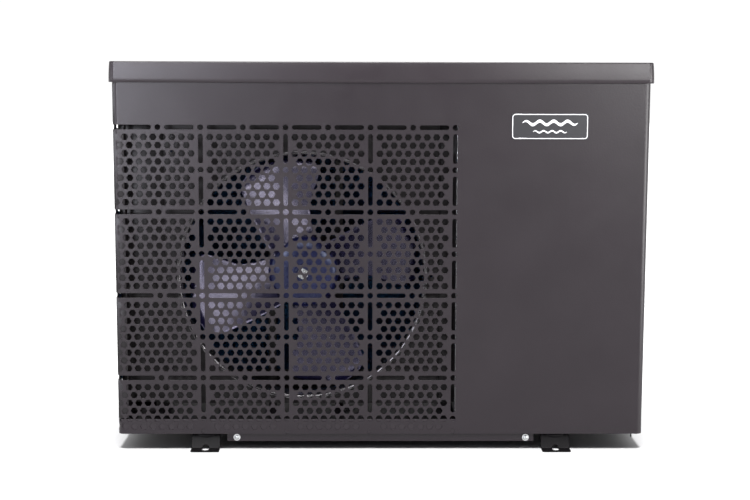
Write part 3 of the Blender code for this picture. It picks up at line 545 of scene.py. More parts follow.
def clear(name, colour, rough, transmission, ior=1.49):
    m, nt, b = tree(name)
    b.inputs["Transmission Weight"].default_value = transmission
    b.inputs["IOR"].default_value = ior
    nt.links.new(ramp(nt, noise(nt, 30.0, 3.0), [(0.3, tuple(c * 0.93 for c in colour)), (0.7, colour)]), b.inputs["Base Color"])
    nt.links.new(remap(nt, noise(nt, 60.0, 4.0), rough[0], rough[1]), b.inputs["Roughness"])
    return m


M = {
    "coat": powder("cabinet_powder_coat", (0.0062, 0.0034, 0.0055), (0.0082, 0.0050, 0.0074), rough=(0.32, 0.37), spec=0.37),
    # the cabinet coat made lighter for the lid: painted light
    "lid": powder("lid_coat_painted_light", (0.0080, 0.0046, 0.0069), (0.0102, 0.0063, 0.0090), rough=(0.32, 0.37), spec=0.37),
    "foot": powder("foot_coat", (0.0014, 0.0011, 0.0014), (0.0024, 0.0019, 0.0024), rough=(0.38, 0.50), spec=0.08),
    # the cabinet coat made darker for surfaces inside the cabinet: painted shade
    "inner": powder("inner_coat_painted_shade", (0.0040, 0.0028, 0.0036), (0.0060, 0.0043, 0.0054), rough=(0.32, 0.42), spec=0.30),
    "pan": powder("pan_coat", (0.0092, 0.0058, 0.0083), (0.0116, 0.0077, 0.0106), rough=(0.32, 0.40), spec=0.38),
    "black": plastic("black_moulding", (0.008, 0.008, 0.009), (0.013, 0.013, 0.014), rough=(0.36, 0.50), strength=0.25),
    "guard": powder("guard_coat", (0.010, 0.010, 0.011), (0.015, 0.015, 0.016), rough=(0.38, 0.50)),
    "badge": metal("badge_plate_finish", (0.010, 0.010, 0.012), (0.018, 0.018, 0.021), rough=(0.28, 0.36), metallic=0.2, grain=(60, 60, 1500)),
    "silver": metal("bright_silver", (0.60, 0.60, 0.61), (0.74, 0.74, 0.75), rough=(0.24, 0.34), strength=0.05, metallic=0.35),
    "zinc": metal("zinc_plate", (0.48, 0.49, 0.50), (0.70, 0.71, 0.71), rough=(0.24, 0.38), strength=0.2),
    "galv": metal("galvanised_sheet", (0.42, 0.42, 0.43), (0.60, 0.60, 0.61), rough=(0.26, 0.40), spangle=True, metallic=0.9),
    # the galvanised fan plate, its side strips and the motor bracket given a near-black coat colour: painted shade
    # inside the cabinet
    "orifice": powder("orifice_painted_shade", (0.0035, 0.0026, 0.0030), (0.0060, 0.0046, 0.0052), rough=(0.26, 0.36), spec=0.24),
    # the ring's steel made dark: painted shade on the rolled ring
    "lip": metal("orifice_lip_painted_shade", (0.085, 0.080, 0.085), (0.125, 0.120, 0.125), rough=(0.16, 0.20), metallic=0.9, grain=(60, 60, 60), strength=0.0),
    "blade": plastic("fan_blade_plastic", (0.0035, 0.0030, 0.015), (0.006, 0.005, 0.022), rough=(0.21, 0.27), ior=1.75, tint=(0.84, 0.79, 1.0), strength=0.04, spec=0.6),
    "hub": plastic("fan_hub_plastic", (0.0045, 0.0055, 0.034), (0.008, 0.009, 0.048), rough=(0.24, 0.32), ior=1.6, tint=(0.70, 0.78, 1.0), strength=0.06),
    "bearing": metal("bearing_steel", (0.45, 0.46, 0.48), (0.62, 0.63, 0.65), rough=(0.16, 0.26), strength=0.08),
    "resin": plastic("motor_resin", (0.020, 0.020, 0.022), (0.032, 0.032, 0.035), rough=(0.5, 0.62)),
    "alu": metal("cast_aluminium", (0.42, 0.43, 0.44), (0.58, 0.59, 0.60), rough=(0.40, 0.55), grain=(300, 300, 300), strength=0.35),
    "iron": metal("laminated_iron", (0.16, 0.15, 0.15), (0.26, 0.25, 0.24), rough=(0.40, 0.55), grain=(20, 900, 20), strength=0.4),
    "fins": metal("blue_coated_fins", (0.005, 0.045, 0.15), (0.014, 0.12, 0.28), rough=(0.22, 0.34), metallic=0.55, grain=(60, 60, 900), strength=0.3),
    "copper": metal("copper_tube", (0.55, 0.20, 0.10), (0.80, 0.36, 0.20), rough=(0.22, 0.36), strength=0.1),
    # straight coil tubes: the copper made dark, painted shade inside the fin pack; the bends keep the bright copper
    "tube": metal("coil_tube_painted_shade", (0.030, 0.012, 0.008), (0.055, 0.022, 0.014), rough=(0.45, 0.60), strength=0.1),
    "brass": metal("valve_brass", (0.50, 0.34, 0.12), (0.72, 0.52, 0.22), rough=(0.28, 0.42), strength=0.1),
    "shell": powder("compressor_enamel", (0.008, 0.008, 0.008), (0.013, 0.013, 0.013), rough=(0.30, 0.42)),
    "rubber": plastic("mount_rubber", (0.014, 0.014, 0.014), (0.022, 0.022, 0.021), rough=(0.62, 0.78), strength=0.4),
    "pvc": plastic("pvc_body", (0.018, 0.018, 0.020), (0.028, 0.028, 0.030), rough=(0.32, 0.45)),
    "titanium": metal("titanium_tube", (0.30, 0.29, 0.28), (0.42, 0.41, 0.39), rough=(0.30, 0.42), strength=0.1),
    "nut": plastic("union_nut_plastic", (0.012, 0.012, 0.013), (0.020, 0.020, 0.022), rough=(0.38, 0.50), strength=0.3),
    "red": plastic("switch_red", (0.38, 0.02, 0.015), (0.50, 0.035, 0.025), rough=(0.34, 0.44)),
    "board": plastic("board_green", (0.010, 0.075, 0.030), (0.018, 0.11, 0.045), rough=(0.30, 0.42), grain=2500.0),
    "terminal": plastic("terminal_plastic", (0.42, 0.42, 0.40), (0.55, 0.55, 0.52), rough=(0.36, 0.46)),
    "display": plastic("display_glass", (0.004, 0.005, 0.006), (0.007, 0.008, 0.010), rough=(0.05, 0.09), strength=0.0),
    "button": plastic("button_rubber", (0.045, 0.046, 0.050), (0.065, 0.066, 0.070), rough=(0.55, 0.68), strength=0.35),
    "smoke": clear("smoked_plastic", (0.34, 0.34, 0.35), (0.04, 0.09), 0.85),
    "gaugemetal": metal("gauge_case_steel", (0.50, 0.51, 0.52), (0.68, 0.69, 0.70), rough=(0.18, 0.28), strength=0.08),
    "lens": clear("gauge_window", (0.93, 0.95, 0.95), (0.02, 0.05), 0.97, ior=1.45),
    "needle": plastic("needle_enamel", (0.40, 0.015, 0.012), (0.52, 0.03, 0.02), rough=(0.28, 0.36)),
    "dial": plastic("dial_enamel", (0.70, 0.70, 0.68), (0.82, 0.82, 0.80), rough=(0.40, 0.50), strength=0.05),
    "ink": plastic("printed_ink", (0.010, 0.010, 0.011), (0.018, 0.018, 0.019), rough=(0.45, 0.55), strength=0.05),
    "white": plastic("printed_white", (0.60, 0.60, 0.60), (0.72, 0.72, 0.72), rough=(0.45, 0.55), strength=0.05),
    "lit": None,
}
m, nt, b = tree("lit_segments")
nt.links.new(ramp(nt, noise(nt, 200.0), [(0.3, (0.10, 0.42, 0.50)), (0.7, (0.14, 0.55, 0.62))]), b.inputs["Base Color"])
b.inputs["Emission Color"].default_value = (0.25, 0.85, 1.0, 1)
b.inputs["Emission Strength"].default_value = 1.6
M["lit"] = m


# ------------------------------------------------------------------ carried-over CAD nodes
def keep(name, mat, bevel=0.0, angle=32, segs=2):
    """A CAD node that stays: its finish, softened edges and smooth shading. Its own vertices aren't touched."""
    ob = NODES[name]
    me = ob.data
    if "custom_normal" in me.attributes:
        me.attributes.remove(me.attributes["custom_normal"])
    me.polygons.foreach_set("use_smooth", [True] * len(me.polygons))
    if "sharp_edge" in me.attributes:
        me.attributes.remove(me.attributes["sharp_edge"])
    if "sharp_face" in me.attributes:
        me.attributes.remove(me.attributes["sharp_face"])
    mats = [mat] if not isinstance(mat, (list, tuple)) else mat
    me.materials.clear()
    for x in mats:
        me.materials.append(x)
    me.polygons.foreach_set("material_index", [0] * len(me.polygons))
    w = ob.modifiers.new("weld", "WELD")
    w.merge_threshold = 2e-6
    if bevel:
        v = ob.modifiers.new("edges", "BEVEL")
        v.limit_method = "ANGLE"
        v.angle_limit = math.radians(angle)
        v.width, v.segments = bevel, segs
        v.use_clamp_overlap = True
    s = ob.modifiers.new("split", "EDGE_SPLIT")
    s.split_angle = math.radians(angle + (14 if bevel else 0))
    s.use_edge_sharp = False
    if bevel:
        k = ob.modifiers.new("normals", "WEIGHTED_NORMAL")
        k.keep_sharp = True
    return ob


KEPT = {
    "rear_panel": ("coat", 0.0003), "right_side_panel": ("coat", 0.0006), "top_cover": ("lid", 0.0), "base_pan": ("pan", 0.0004),
    "foot_rail_left": ("foot", 0.0005), "foot_rail_right": ("foot", 0.0005), "badge_plate": ("badge", 0.0003),
    "skirt_screw_left": ("zinc", 0.0), "skirt_screw_right": ("zinc", 0.0), "fan_nut": ("zinc", 0.0006), "motor_shaft": ("bearing", 0.0005),
    "motor_rotor": ("iron", 0.0006), "motor_bearing_front": ("bearing", 0.0004), "motor_bearing_rear": ("bearing", 0.0004),
    # the motor bracket takes the darkened orifice finish: painted shade
    "motor_housing": ("resin", 0.0012), "motor_end_cover": ("alu", 0.0012), "motor_bracket": ("orifice", 0.0005),
    "coil_end_plate": ("galv", 0.0), "coil_header": ("copper", 0.0), "partition_plate": ("galv", 0.0003), "drain_nipple": ("black", 0.0005),
    "compressor": ("shell", 0.0010), "compressor_mount_front": ("rubber", 0.0008), "compressor_mount_left": ("rubber", 0.0008),
    "compressor_mount_right": ("rubber", 0.0008), "accumulator": ("shell", 0.0010), "four_way_valve": ("brass", 0.0006),
    "expansion_valve": ("brass", 0.0006), "discharge_pipe": ("copper", 0.0), "suction_pipe": ("copper", 0.0), "liquid_pipe": ("copper", 0.0),
    "exchanger_shell": ("pvc", 0.0012), "exchanger_cap": ("pvc", 0.0012), "titanium_coil": ("titanium", 0.0), "flow_switch": ("red", 0.0010),
    "water_inlet_pipe": ("pvc", 0.0006), "water_outlet_pipe": ("pvc", 0.0006), "union_nut_inlet": ("nut", 0.0008), "union_nut_outlet": ("nut", 0.0008),
    "cable_gland": ("black", 0.0006), "control_box": ("galv", 0.0005), "control_box_cover": ("galv", 0.0005), "circuit_board": ("board", 0.0002),
    "terminal_block": ("terminal", 0.0008), "controller_bezel": ("black", 0.0009), "controller_display": ("display", 0.0004),
    "button_power": ("button", 0.0005), "button_mode": ("button", 0.0005), "button_up": ("button", 0.0005), "button_down": ("button", 0.0005),
    "controller_cover": ("smoke", 0.0004), "gauge_case": ("gaugemetal", 0.0006), "gauge_lens": ("lens", 0.0003), "gauge_needle": ("needle", 0.0002),
}
for n in NODES:
    if n in KEPT:
        keep(n, M[KEPT[n][0]], KEPT[n][1])
    else:
        keep(n, M["coat"])

# ------------------------------------------------------------------ perforated front and left side
front_lo = -(HALF_W - CORNER_R + ARC + 0.0200)
outline = [(front_lo, BODY_Z0), (-front_lo, BODY_Z0), (-front_lo, BODY_Z1), (front_lo, BODY_Z1)]
flat = HALF_W - CORNER_R
sheet_piece("front_sheet", outline, cell_holes(), arc_lines(-flat - ARC) + arc_lines(flat) + [-flat + 0.004, flat - 0.004],
            "cabinet", M["coat"], replaces=("front_panel",))

side_holes = []
for z, full, c in row_zs():
    for i, x in enumerate(SIDE_LINES):
        ks = (list(range(1, 9)) if full else [k + 0.5 for k in range(1, 8)]) if i == 0 else ([1, 2, 3] if full else [1.5, 2.5])
        side_holes += [hexagon(x - k * HEX_A, z) for k in ks]
    side_holes += [hexagon(SIDE_LINES[0] + k * HEX_A, z) for k in ([1, 2] if full else [1.5])]
for c, z in enumerate(LINE_Z):
    for x in SIDE_LINES:
        side_holes.append(circle2(DOT_R, 16, x, z))
        side_holes.append(slot2(x, z - CELL / 4, SLOT_L, SLOT_W, vertical=True))
        side_holes.append(circle2(DOT_R, 16, x, z - CELL / 2))
        if c < 3:
            side_holes.append(slot2(x, z - 3 * CELL / 4, SLOT_L, SLOT_W, vertical=True))
        else:
            side_holes.append(slot2(x, 0.0305, 0.0095, SLOT_W, vertical=True, n=4))
    x = SIDE_LINES[0]
    side_holes += [slot2(x + 0.0245, z, 0.0290, SLOT_W), slot2(x - CELL / 4, z, SLOT_L, SLOT_W), circle2(DOT_R, 16, x - CELL / 2, z),
                   slot2(x - 3 * CELL / 4, z, SLOT_L, SLOT_W), slot2(SIDE_LINES[1] - CELL / 4, z, SLOT_L, SLOT_W)]
s_lo, s_hi = unroll_side(-HALF_D + 0.0305), unroll_side(HALF_D - CORNER_R) - ARC - 0.032
rear_arc = unroll_side(HALF_D - CORNER_R)
sheet_piece("left_side_sheet", [(s_hi, BODY_Z0 + 0.0003), (s_lo, BODY_Z0 + 0.0003), (s_lo, BODY_Z1 - 0.0004), (s_hi, BODY_Z1 - 0.0004)], side_holes,
            arc_lines(rear_arc - ARC) + [rear_arc + 0.004, rear_arc - ARC - 0.004], "cabinet", M["coat"], replaces=("left_side_grille",))

# the side sheet's return flange, a strip behind the front sheet at the left corner, in the darker inner coat: painted
# shade
b = Build()
cuts = [0.0530] + [v for z in reversed(LINE_Z) for v in (z - 0.0055, z + 0.0055)] + [0.6120]
for z0, z1 in zip(cuts[::2], cuts[1::2]):
    b.add(*block((-0.4408, -0.1434, z0), (-0.4238, -0.1426, z1), 0.0002))
b.add(*block((-0.4246, -0.1426, 0.0530), (-0.4238, -0.1180, 0.6120), 0.0002))
b.piece("left_corner_flange", "cabinet", M["inner"], slot="cabinet_coat")

# ------------------------------------------------------------------ lid
def loop_rect(inset, z, hw=0.447, hd=0.150, r=0.0115, n=10):
    return [Vector((x, y, z)) for x, y in rounded_rect(hw - inset, hd - inset, max(r - inset, 0.0008), n)]


E_R = 0.0022
LEAN = 0.0015


def lean(z):
    """How far the flange has curved in at height z."""
    return LEAN * ((z - 0.6147) / (0.648 - E_R - 0.6147)) ** 2


prof = [(0.0105, 0.6146), (0.0105, 0.6140), (0.0010, 0.6140), (0.0004, 0.6142)]
prof += [(lean(z), z) for z in [0.6147 + (0.648 - E_R - 0.6147) * k / 5 for k in range(6)]]
prof += [(LEAN + E_R - E_R * math.cos(a), 0.648 - E_R + E_R * math.sin(a)) for a in [PI / 2 * k / 6 for k in range(1, 7)]]
prof += [(0.0075, 0.6480), (0.0300, 0.6480)]
inner = [(0.0300, 0.6468), (0.0048, 0.6468), (0.0028, 0.6446), (0.0018, 0.6300), (0.0012, 0.6152), (0.0105, 0.6152)]
b = Build()
loops = [loop_rect(i, z) for i, z in prof + inner]
k = len(loops[0])
verts = [p for l in loops for p in l]
faces = []
order = list(range(len(prof)))
for i in range(len(prof) - 1):
    for j in range(k):
        faces.append([i * k + j, i * k + (j + 1) % k, (i + 1) * k + (j + 1) % k, (i + 1) * k + j])
o = len(prof)
for i in range(o, o + len(inner) - 1):
    for j in range(k):
        faces.append([i * k + j, i * k + (j + 1) % k, (i + 1) * k + (j + 1) % k, (i + 1) * k + j])
for j in range(k):  # close the folded lip
    a, c = (len(loops) - 1) * k, 0
    faces.append([a + j, a + (j + 1) % k, c + (j + 1) % k, c + j])
faces.append([(len(prof) - 1) * k + j for j in range(k)])
faces.append([o * k + j for j in range(k)][::-1])
b.add(verts, faces)
# the lid in the lighter lid coat: painted light on the lid
lid = b.piece("lid_sheet", "cabinet", M["lid"], slot="cabinet_coat", replaces=("top_cover",), smooth=40)

# ------------------------------------------------------------------ badge: silver border and a plain wave mark
BX0, BX1, BZ0, BZ1 = 0.213, 0.3395, 0.522, 0.565
bc = ((BX0 + BX1) / 2, (BZ0 + BZ1) / 2)
bw, bh = (BX1 - BX0) / 2, (BZ1 - BZ0) / 2


def frame_ring(outer, inner, y0, y1):
    """A flat ring between two outlines of the same length, from y0 back to y1, in the X-Z plane."""
    n = len(outer)
    v = [Vector((x, y0, z)) for x, z in outer] + [Vector((x, y0, z)) for x, z in inner]
    v += [Vector((x, y1, z)) for x, z in outer] + [Vector((x, y1, z)) for x, z in inner]
    f = []
    for i in range(n):
        j = (i + 1) % n
        f += [[i, j, n + j, n + i], [2 * n + i, 3 * n + i, 3 * n + j, 2 * n + j], [i, 2 * n + i, 2 * n + j, j], [n + i, n + j, 3 * n + j, 3 * n + i]]
    return v, f


b = Build()
b.add(*frame_ring(rounded_rect(bw - 0.0012, bh - 0.0012, 0.0052, 8, *bc), rounded_rect(bw - 0.0024, bh - 0.0024, 0.0040, 8, *bc), -0.14685, -0.1462))
b.piece("badge_border", "cabinet", M["silver"], slot="badge_face", bevel=(0.00012, 1))


def wave(x0, x1, z, amp, period, w, y0, y1, n=64):
    """A wavy bar of width w that tapers to its ends."""
    top, bot = [], []
    for i in range(n + 1):
        t = i / n
        x = x0 + (x1 - x0) * t
        zz = z + amp * math.sin(2 * PI * (x - x0) / period)
        h = w / 2 * min(1.0, 0.25 + 6 * min(t, 1 - t))
        top.append((x, zz + h))
        bot.append((x, zz - h))
    v, f = [], []
    for y in (y0, y1):
        v += [Vector((x, y, z)) for x, z in top] + [Vector((x, y, z)) for x, z in bot]
    m = n + 1
    for i in range(n):
        f += [[i, i + 1, m + i + 1, m + i], [2 * m + i, 3 * m + i, 3 * m + i + 1, 2 * m + i + 1],
              [i, 2 * m + i, 2 * m + i + 1, i + 1], [m + i, m + i + 1, 3 * m + i + 1, 3 * m + i]]
    f += [[0, m, 3 * m, 2 * m], [n, 2 * m + n, 3 * m + n, m + n]]
    return v, f


b = Build()
b.add(*wave(bc[0] - 0.0455, bc[0] + 0.0455, bc[1] + 0.0060, 0.0030, 0.0228, 0.0050, -0.14675, -0.1462))
b.add(*wave(bc[0] - 0.0280, bc[0] + 0.0280, bc[1] - 0.0085, 0.0016, 0.0140, 0.0024, -0.14675, -0.1462))
b.piece("badge_wave_mark", "cabinet", M["silver"], slot="badge_face")

# ------------------------------------------------------------------ foot rails: bent strip, slotted tabs, pressed rib
def path_lift(path, x0):
    """Lays the unrolled strip along a bent (y, z) path; its second coordinate runs across the strip."""
    pts = [Vector(p) for p in path]
    runs = [0.0]
    for a, b2 in zip(pts, pts[1:]):
        runs.append(runs[-1] + (b2 - a).length)

    def place(u):
        u = min(max(u, 0.0), runs[-1])
        i = max(k for k in range(len(runs) - 1) if runs[k] <= u + 1e-12)
        t = (pts[i + 1] - pts[i]).normalized()
        return pts[i] + t * (u - runs[i]), i, t

    def normal(u):
        _, i, t = place(u)
        ts = [t]
        if i + 1 < len(pts) - 1 and runs[i + 1] - u < 1e-6:
            ts.append((pts[i + 2] - pts[i + 1]).normalized())
        if i > 0 and u - runs[i] < 1e-6:
            ts.append((pts[i] - pts[i - 1]).normalized())
        m = sum(ts, Vector((0, 0))).normalized()
        return Vector((-m.y, m.x)), 1.0 / max(m.dot(ts[0]), 0.5)

    def lift(u, w, d):
        p, _, _ = place(u)
        n, k = normal(u)
        q = p - n * (d * k)
        rib = 0.0
        return Vector((x0 - w, q.x, q.y + rib)), Vector((0, n.x, n.y))
    return lift, runs


def rounded_path(corners, r, n=5):
    """Turns each inner corner of a (y, z) path into an arc."""
    out = [corners[0]]
    for a, b2, c in zip(corners, corners[1:], corners[2:]):
        a, b2, c = Vector(a), Vector(b2), Vector(c)
        d1, d2 = (a - b2).normalized(), (c - b2).normalized()
        ang = math.acos(max(-1, min(1, d1.dot(d2))))
        cut = min(r / math.tan(ang / 2), (a - b2).length * 0.45, (c - b2).length * 0.45)
        p, q = b2 + d1 * cut, b2 + d2 * cut
        for k in range(n + 1):
            t = k / n
            out.append(tuple(p * (1 - t) ** 2 + b2 * 2 * t * (1 - t) + q * t * t))
    out.append(corners[-1])
    return out


FOOT_HALF, FOOT_THICK = 0.0235, 0.0018
foot_path = rounded_path([(-0.1672, 0.0020), (-0.1475, 0.0020), (-0.1345, 0.0256), (0.1345, 0.0256), (0.1475, 0.0020), (0.1795, 0.0020)], 0.0035)
for side, x in (("left", -0.295), ("right", 0.295)):
    lift, runs = path_lift(foot_path, x)
    total = runs[-1]
    ends = [(0.0, -FOOT_HALF + 0.002), (0.002, -FOOT_HALF), (total - 0.004, -FOOT_HALF), (total, -FOOT_HALF + 0.004),
            (total, FOOT_HALF - 0.004), (total - 0.004, FOOT_HALF), (0.002, FOOT_HALF), (0.0, FOOT_HALF - 0.002)]
    slots = [slot2(0.0155, 0.0, 0.0205, 0.0115, n=8), slot2(total - 0.0165, 0.0, 0.0205, 0.0115, n=8)]
    sheet_piece(f"foot_strip_{side}", ends, slots, [u for u in runs[1:-1]], "cabinet", M["foot"], lift=lift,
                replaces=(f"foot_rail_{side}",), thick=FOOT_THICK, roll=0.0003)
    b = Build()
    for sgn in (-1, 1):  # pressed arch on each sloping face
        rows = []
        for i in range(17):
            t = i / 16
            w = 0.0150 * math.cos(PI * t)
            h = 0.0075 * math.sin(PI * t)
            rows.append((w, h))
        v = []
        for k, (scale, out) in enumerate(((1.0, 0.0), (0.86, 0.0011), (0.62, 0.0014))):
            for w, h in rows:
                zz = 0.0238 - h * scale * 0.8
                f = (zz - 0.0020) / 0.0236
                yy = -0.1475 + 0.0130 * f
                v.append(Vector((x + w * scale, sgn * (yy - (out + 0.0002) * 0.87), zz + (out + 0.0002) * 0.49)))
        f = []
        for k in range(2):
            for i in range(16):
                f.append([k * 17 + i, k * 17 + i + 1, (k + 1) * 17 + i + 1, (k + 1) * 17 + i])
        f.append([2 * 17 + i for i in range(17)])
        b.add(v, f)
    b.piece(f"foot_arch_rib_{side}", "cabinet", M["foot"], slot="foot_coat", smooth=50)

# ------------------------------------------------------------------ fan wheel
FAN_C = Vector((FAN_X, 0, FAN_Z))
MARKS = ((0.050, -22.0, 60.0), (0.065, -17.0, 54.0), (0.085, -9.0, 48.0), (0.110, -5.0, 43.5),
         (0.151, -8.5, 38.5), (0.175, -9.5, 36.0), (0.190, -6.0, 31.0), (0.196, 2.0, 22.0))


def blade_edges(r):
    rs = [m[0] for m in MARKS]
    return tuple(float(np.interp(r, rs, [m[k] for m in MARKS])) for k in (1, 2))


def blade(turn, rows=26, cols=18, thick=0.0030):
    """One pitched and cambered blade with a rounded rim."""
    radii = [0.0570 + (0.196 - 0.0570) * (1 - (1 - i / rows) ** 1.35) for i in range(rows + 1)]
    mid = []
    for r in radii:
        lo, hi = blade_edges(r)
        row = []
        for j in range(cols + 1):
            v = 0.5 - 0.5 * math.cos(PI * j / cols)
            a = math.radians(turn + lo + v * (hi - lo))
            y = -0.041 - 0.058 * v + 0.006 * 4 * v * (1 - v) + 0.006 * (1 - r / 0.196)
            row.append(FAN_C + Vector((r * math.cos(a), y, r * math.sin(a))))
        mid.append(row)
    R, C = len(mid), cols + 1
    v, f = [], []
    for sgn in (1, -1):
        for i in range(R):
            for j in range(C):
                p = mid[i][j]
                du = mid[min(i + 1, R - 1)][j] - mid[max(i - 1, 0)][j]
                dv = mid[i][min(j + 1, C - 1)] - mid[i][max(j - 1, 0)]
                n = du.cross(dv).normalized()
                edge = min(j, C - 1 - j, R - 1 - i)
                t = thick / 2 * (0.35, 0.8, 1.0)[min(edge, 2)]
                v.append(p + n * (t * sgn))
    o = R * C
    for i in range(R - 1):
        for j in range(C - 1):
            a, b2, c, d = i * C + j, i * C + j + 1, (i + 1) * C + j + 1, (i + 1) * C + j
            f += [[a, b2, c, d], [o + d, o + c, o + b2, o + a]]
    rim = [(0, j) for j in range(C)] + [(i, C - 1) for i in range(1, R)] + [(R - 1, j) for j in range(C - 2, -1, -1)] + [(i, 0) for i in range(R - 2, 0, -1)]
    for (i, j), (p, q) in zip(rim, rim[1:] + rim[:1]):
        a, b2 = i * C + j, p * C + q
        f.append([a, o + a, o + b2, b2])
    return v, f


b = Build()
for k in range(4):
    b.add(*blade(90 * k))
b.piece("fan_blades", "fan", M["blade"], slot="fan_plastic", replaces=("fan_propeller",), smooth=50)
hub = [(0.0064, -0.0802), (0.0120, -0.0802), (0.0150, -0.0798), (0.0155, -0.0790), (0.0240, -0.0786), (0.0400, -0.0778), (0.0500, -0.0757), (0.0560, -0.0722),
       (0.0592, -0.0680), (0.0600, -0.0640), (0.0600, -0.0345), (0.0590, -0.0340), (0.0570, -0.0345), (0.0570, -0.0630), (0.0555, -0.0670),
       (0.0510, -0.0710), (0.0400, -0.0745), (0.0130, -0.0765), (0.0120, -0.0500), (0.0064, -0.0500)]
b = Build()
b.add(*lathe(hub, FAN_C, (0, 1, 0), 64, closed=True))
for k in range(8):  # stiffening ribs inside the hub cup
    a = PI * k / 4 + 0.2
    d, s = Vector((math.cos(a), 0, math.sin(a))), Vector((-math.sin(a), 0, math.cos(a)))
    p = [FAN_C + d * r + s * w + Vector((0, y, 0)) for r in (0.0125, 0.0570) for w in (-0.001, 0.001) for y in (-0.0745 if r < 0.02 else -0.066, -0.045)]
    b.add(p, [[0, 1, 3, 2], [4, 6, 7, 5], [0, 4, 5, 1], [2, 3, 7, 6], [0, 2, 6, 4], [1, 5, 7, 3]])
b.piece("fan_hub", "fan", M["hub"], slot="fan_plastic", smooth=30)

# ------------------------------------------------------------------ fan ring and its plate
def flat_lift(y):
    def lift(u, z, d):
        return Vector((u, y + d, z)), Vector((0.0, -1.0, 0.0))
    return lift


PLATE_Y = -0.1145
STEP_L, STEP_R = FAN_X - 0.2290, FAN_X + 0.2290
PL_Z0, PL_Z1 = 0.0720, 0.6120
ring_hole = circle2(0.2095, 128, FAN_X, FAN_Z)
holes = [ring_hole] + [circle2(0.0022, 10, x, z) for x in (STEP_L + 0.012, STEP_R - 0.012) for z in (0.080, 0.290, 0.500, 0.600)]
# plate and side strips in the darkened orifice finish: painted shade inside the cabinet
sheet_piece("orifice_plate", [(STEP_L, PL_Z0), (STEP_R, PL_Z0), (STEP_R, PL_Z1), (STEP_L, PL_Z1)], holes, [], "cabinet", M["orifice"],
            lift=flat_lift(PLATE_Y), replaces=("fan_orifice_plate",), roll=0.0002)
b = Build()
for x0, x1, side in ((-0.4385, STEP_L, -1), (STEP_R, 0.1262, 1)):
    inner_x = x1 if side < 0 else x0
    y = PLATE_Y + 0.0065
    b.add(*block((x0, y, PL_Z0), (x1, y + 0.0008, PL_Z1), 0.0002))
    b.add(*block((inner_x - 0.0004, PLATE_Y + 0.0002, PL_Z0), (inner_x + 0.0004, y + 0.0008, PL_Z1), 0.0002))
b.piece("orifice_side_strips", "cabinet", M["orifice"], slot="orifice_steel")
RING = 0.2035                          # throat radius of the rolled ring
bell = []
for k in range(9):
    a = PI / 2 * k / 8
    bell.append((RING + 0.0060 - 0.0060 * math.sin(a), PLATE_Y - 0.0002 + 0.0060 * (1 - math.cos(a))))
bell += [(RING, -0.0900), (RING, -0.0735), (RING + 0.0004, -0.0726), (RING + 0.0010, -0.0727), (RING + 0.0012, -0.0735), (RING + 0.0012, -0.1050)]
bell += [(RING + 0.0020 + 0.0040 * (1 - math.cos(a)), -0.1075 - 0.0040 * math.sin(a)) for a in [PI / 2 * k / 6 for k in range(1, 7)]]
bell += [(RING + 0.0070, -0.1137), (RING + 0.0070, PLATE_Y - 0.0002)]
# the ring in the darkened lip steel: painted shade
b = Build()
b.add(*lathe(bell, FAN_C, (0, 1, 0), 160, closed=True))
b.piece("orifice_ring", "cabinet", M["lip"], slot="orifice_steel", smooth=50)

# ------------------------------------------------------------------ finned coil
COIL = ((-0.401, -0.100), (-0.401, 0.068), (-0.350, 0.068), 0.051, 0.118)


def coil_point(s):
    """Point and travel direction on the coil's middle line at run s."""
    l1, l2 = 0.168, 0.051 * PI / 2
    if s <= l1:
        return Vector((-0.401, -0.100 + s, 0)), Vector((0, 1, 0))
    if s <= l1 + l2:
        a = PI - (s - l1) / 0.051
        return Vector((-0.350 + 0.051 * math.cos(a), 0.068 + 0.051 * math.sin(a), 0)), Vector((math.sin(a), -math.cos(a), 0))
    return Vector((-0.350 + (s - l1 - l2), 0.119, 0)), Vector((1, 0, 0))


COIL_LEN = 0.168 + 0.051 * PI / 2 + 0.468
b = Build()
n_fins = 340
for i in range(n_fins):
    s = 0.0010 + (COIL_LEN - 0.0020) * i / (n_fins - 1)
    p, t = coil_point(s)
    side = Vector((-t.y, t.x, 0))
    w, th = 0.0188, 0.00022
    cols = [-1.0, -0.5, 0.0, 0.5, 1.0]
    v = []
    for z in (0.0840, 0.6075):
        for sg in (-1, 1):
            for j, c in enumerate(cols):  # a light corrugation across the fin
                v.append(p + side * (w * c) + t * (sg * th / 2 + (0.0010 if j % 2 else -0.0010)) + Vector((0, 0, z)))
    f = []
    for sg in (0, 1):
        for j in range(4):
            q = [sg * 5 + j, sg * 5 + j + 1, 10 + sg * 5 + j + 1, 10 + sg * 5 + j]
            f.append(q if sg == 0 else q[::-1])
    for a, c in ((0, 5), (4, 9)):
        f.append([a, c, 10 + c, 10 + a] if a == 4 else [c, a, 10 + a, 10 + c])
    for o in (0, 10):
        for j in range(4):
            q = [o + j, o + 5 + j, o + 5 + j + 1, o + j + 1]
            f.append(q if o == 0 else q[::-1])
    b.add(v, f)
rows_n = 60
for i in range(rows_n + 1):  # the rail the finned block stands on
    p, t = coil_point(0.0005 + (COIL_LEN - 0.0010) * i / rows_n)
    side = Vector((-t.y, t.x, 0))
    v = [p + side * w + Vector((0, 0, z)) for w, z in ((-0.0190, 0.0545), (0.0190, 0.0545), (0.0190, 0.0845), (0.0178, 0.0845), (0.0178, 0.0600), (-0.0178, 0.0600),
                                                       (-0.0178, 0.0845), (-0.0190, 0.0845))]
    k = len(b.v)
    b.add(v, [], 1)
    if i:
        q = [[k - 8 + j, k - 8 + (j + 1) % 8, k + (j + 1) % 8, k + j] for j in range(8)]
        b.f += q
        b.m += [1] * len(q)
    if i in (0, rows_n):
        q = [[k + j for j in (0, 5, 6, 7)], [k + j for j in (0, 1, 4, 5)], [k + j for j in (1, 2, 3, 4)]]
        b.f += q if i else [f[::-1] for f in q]
        b.m += [1] * 3
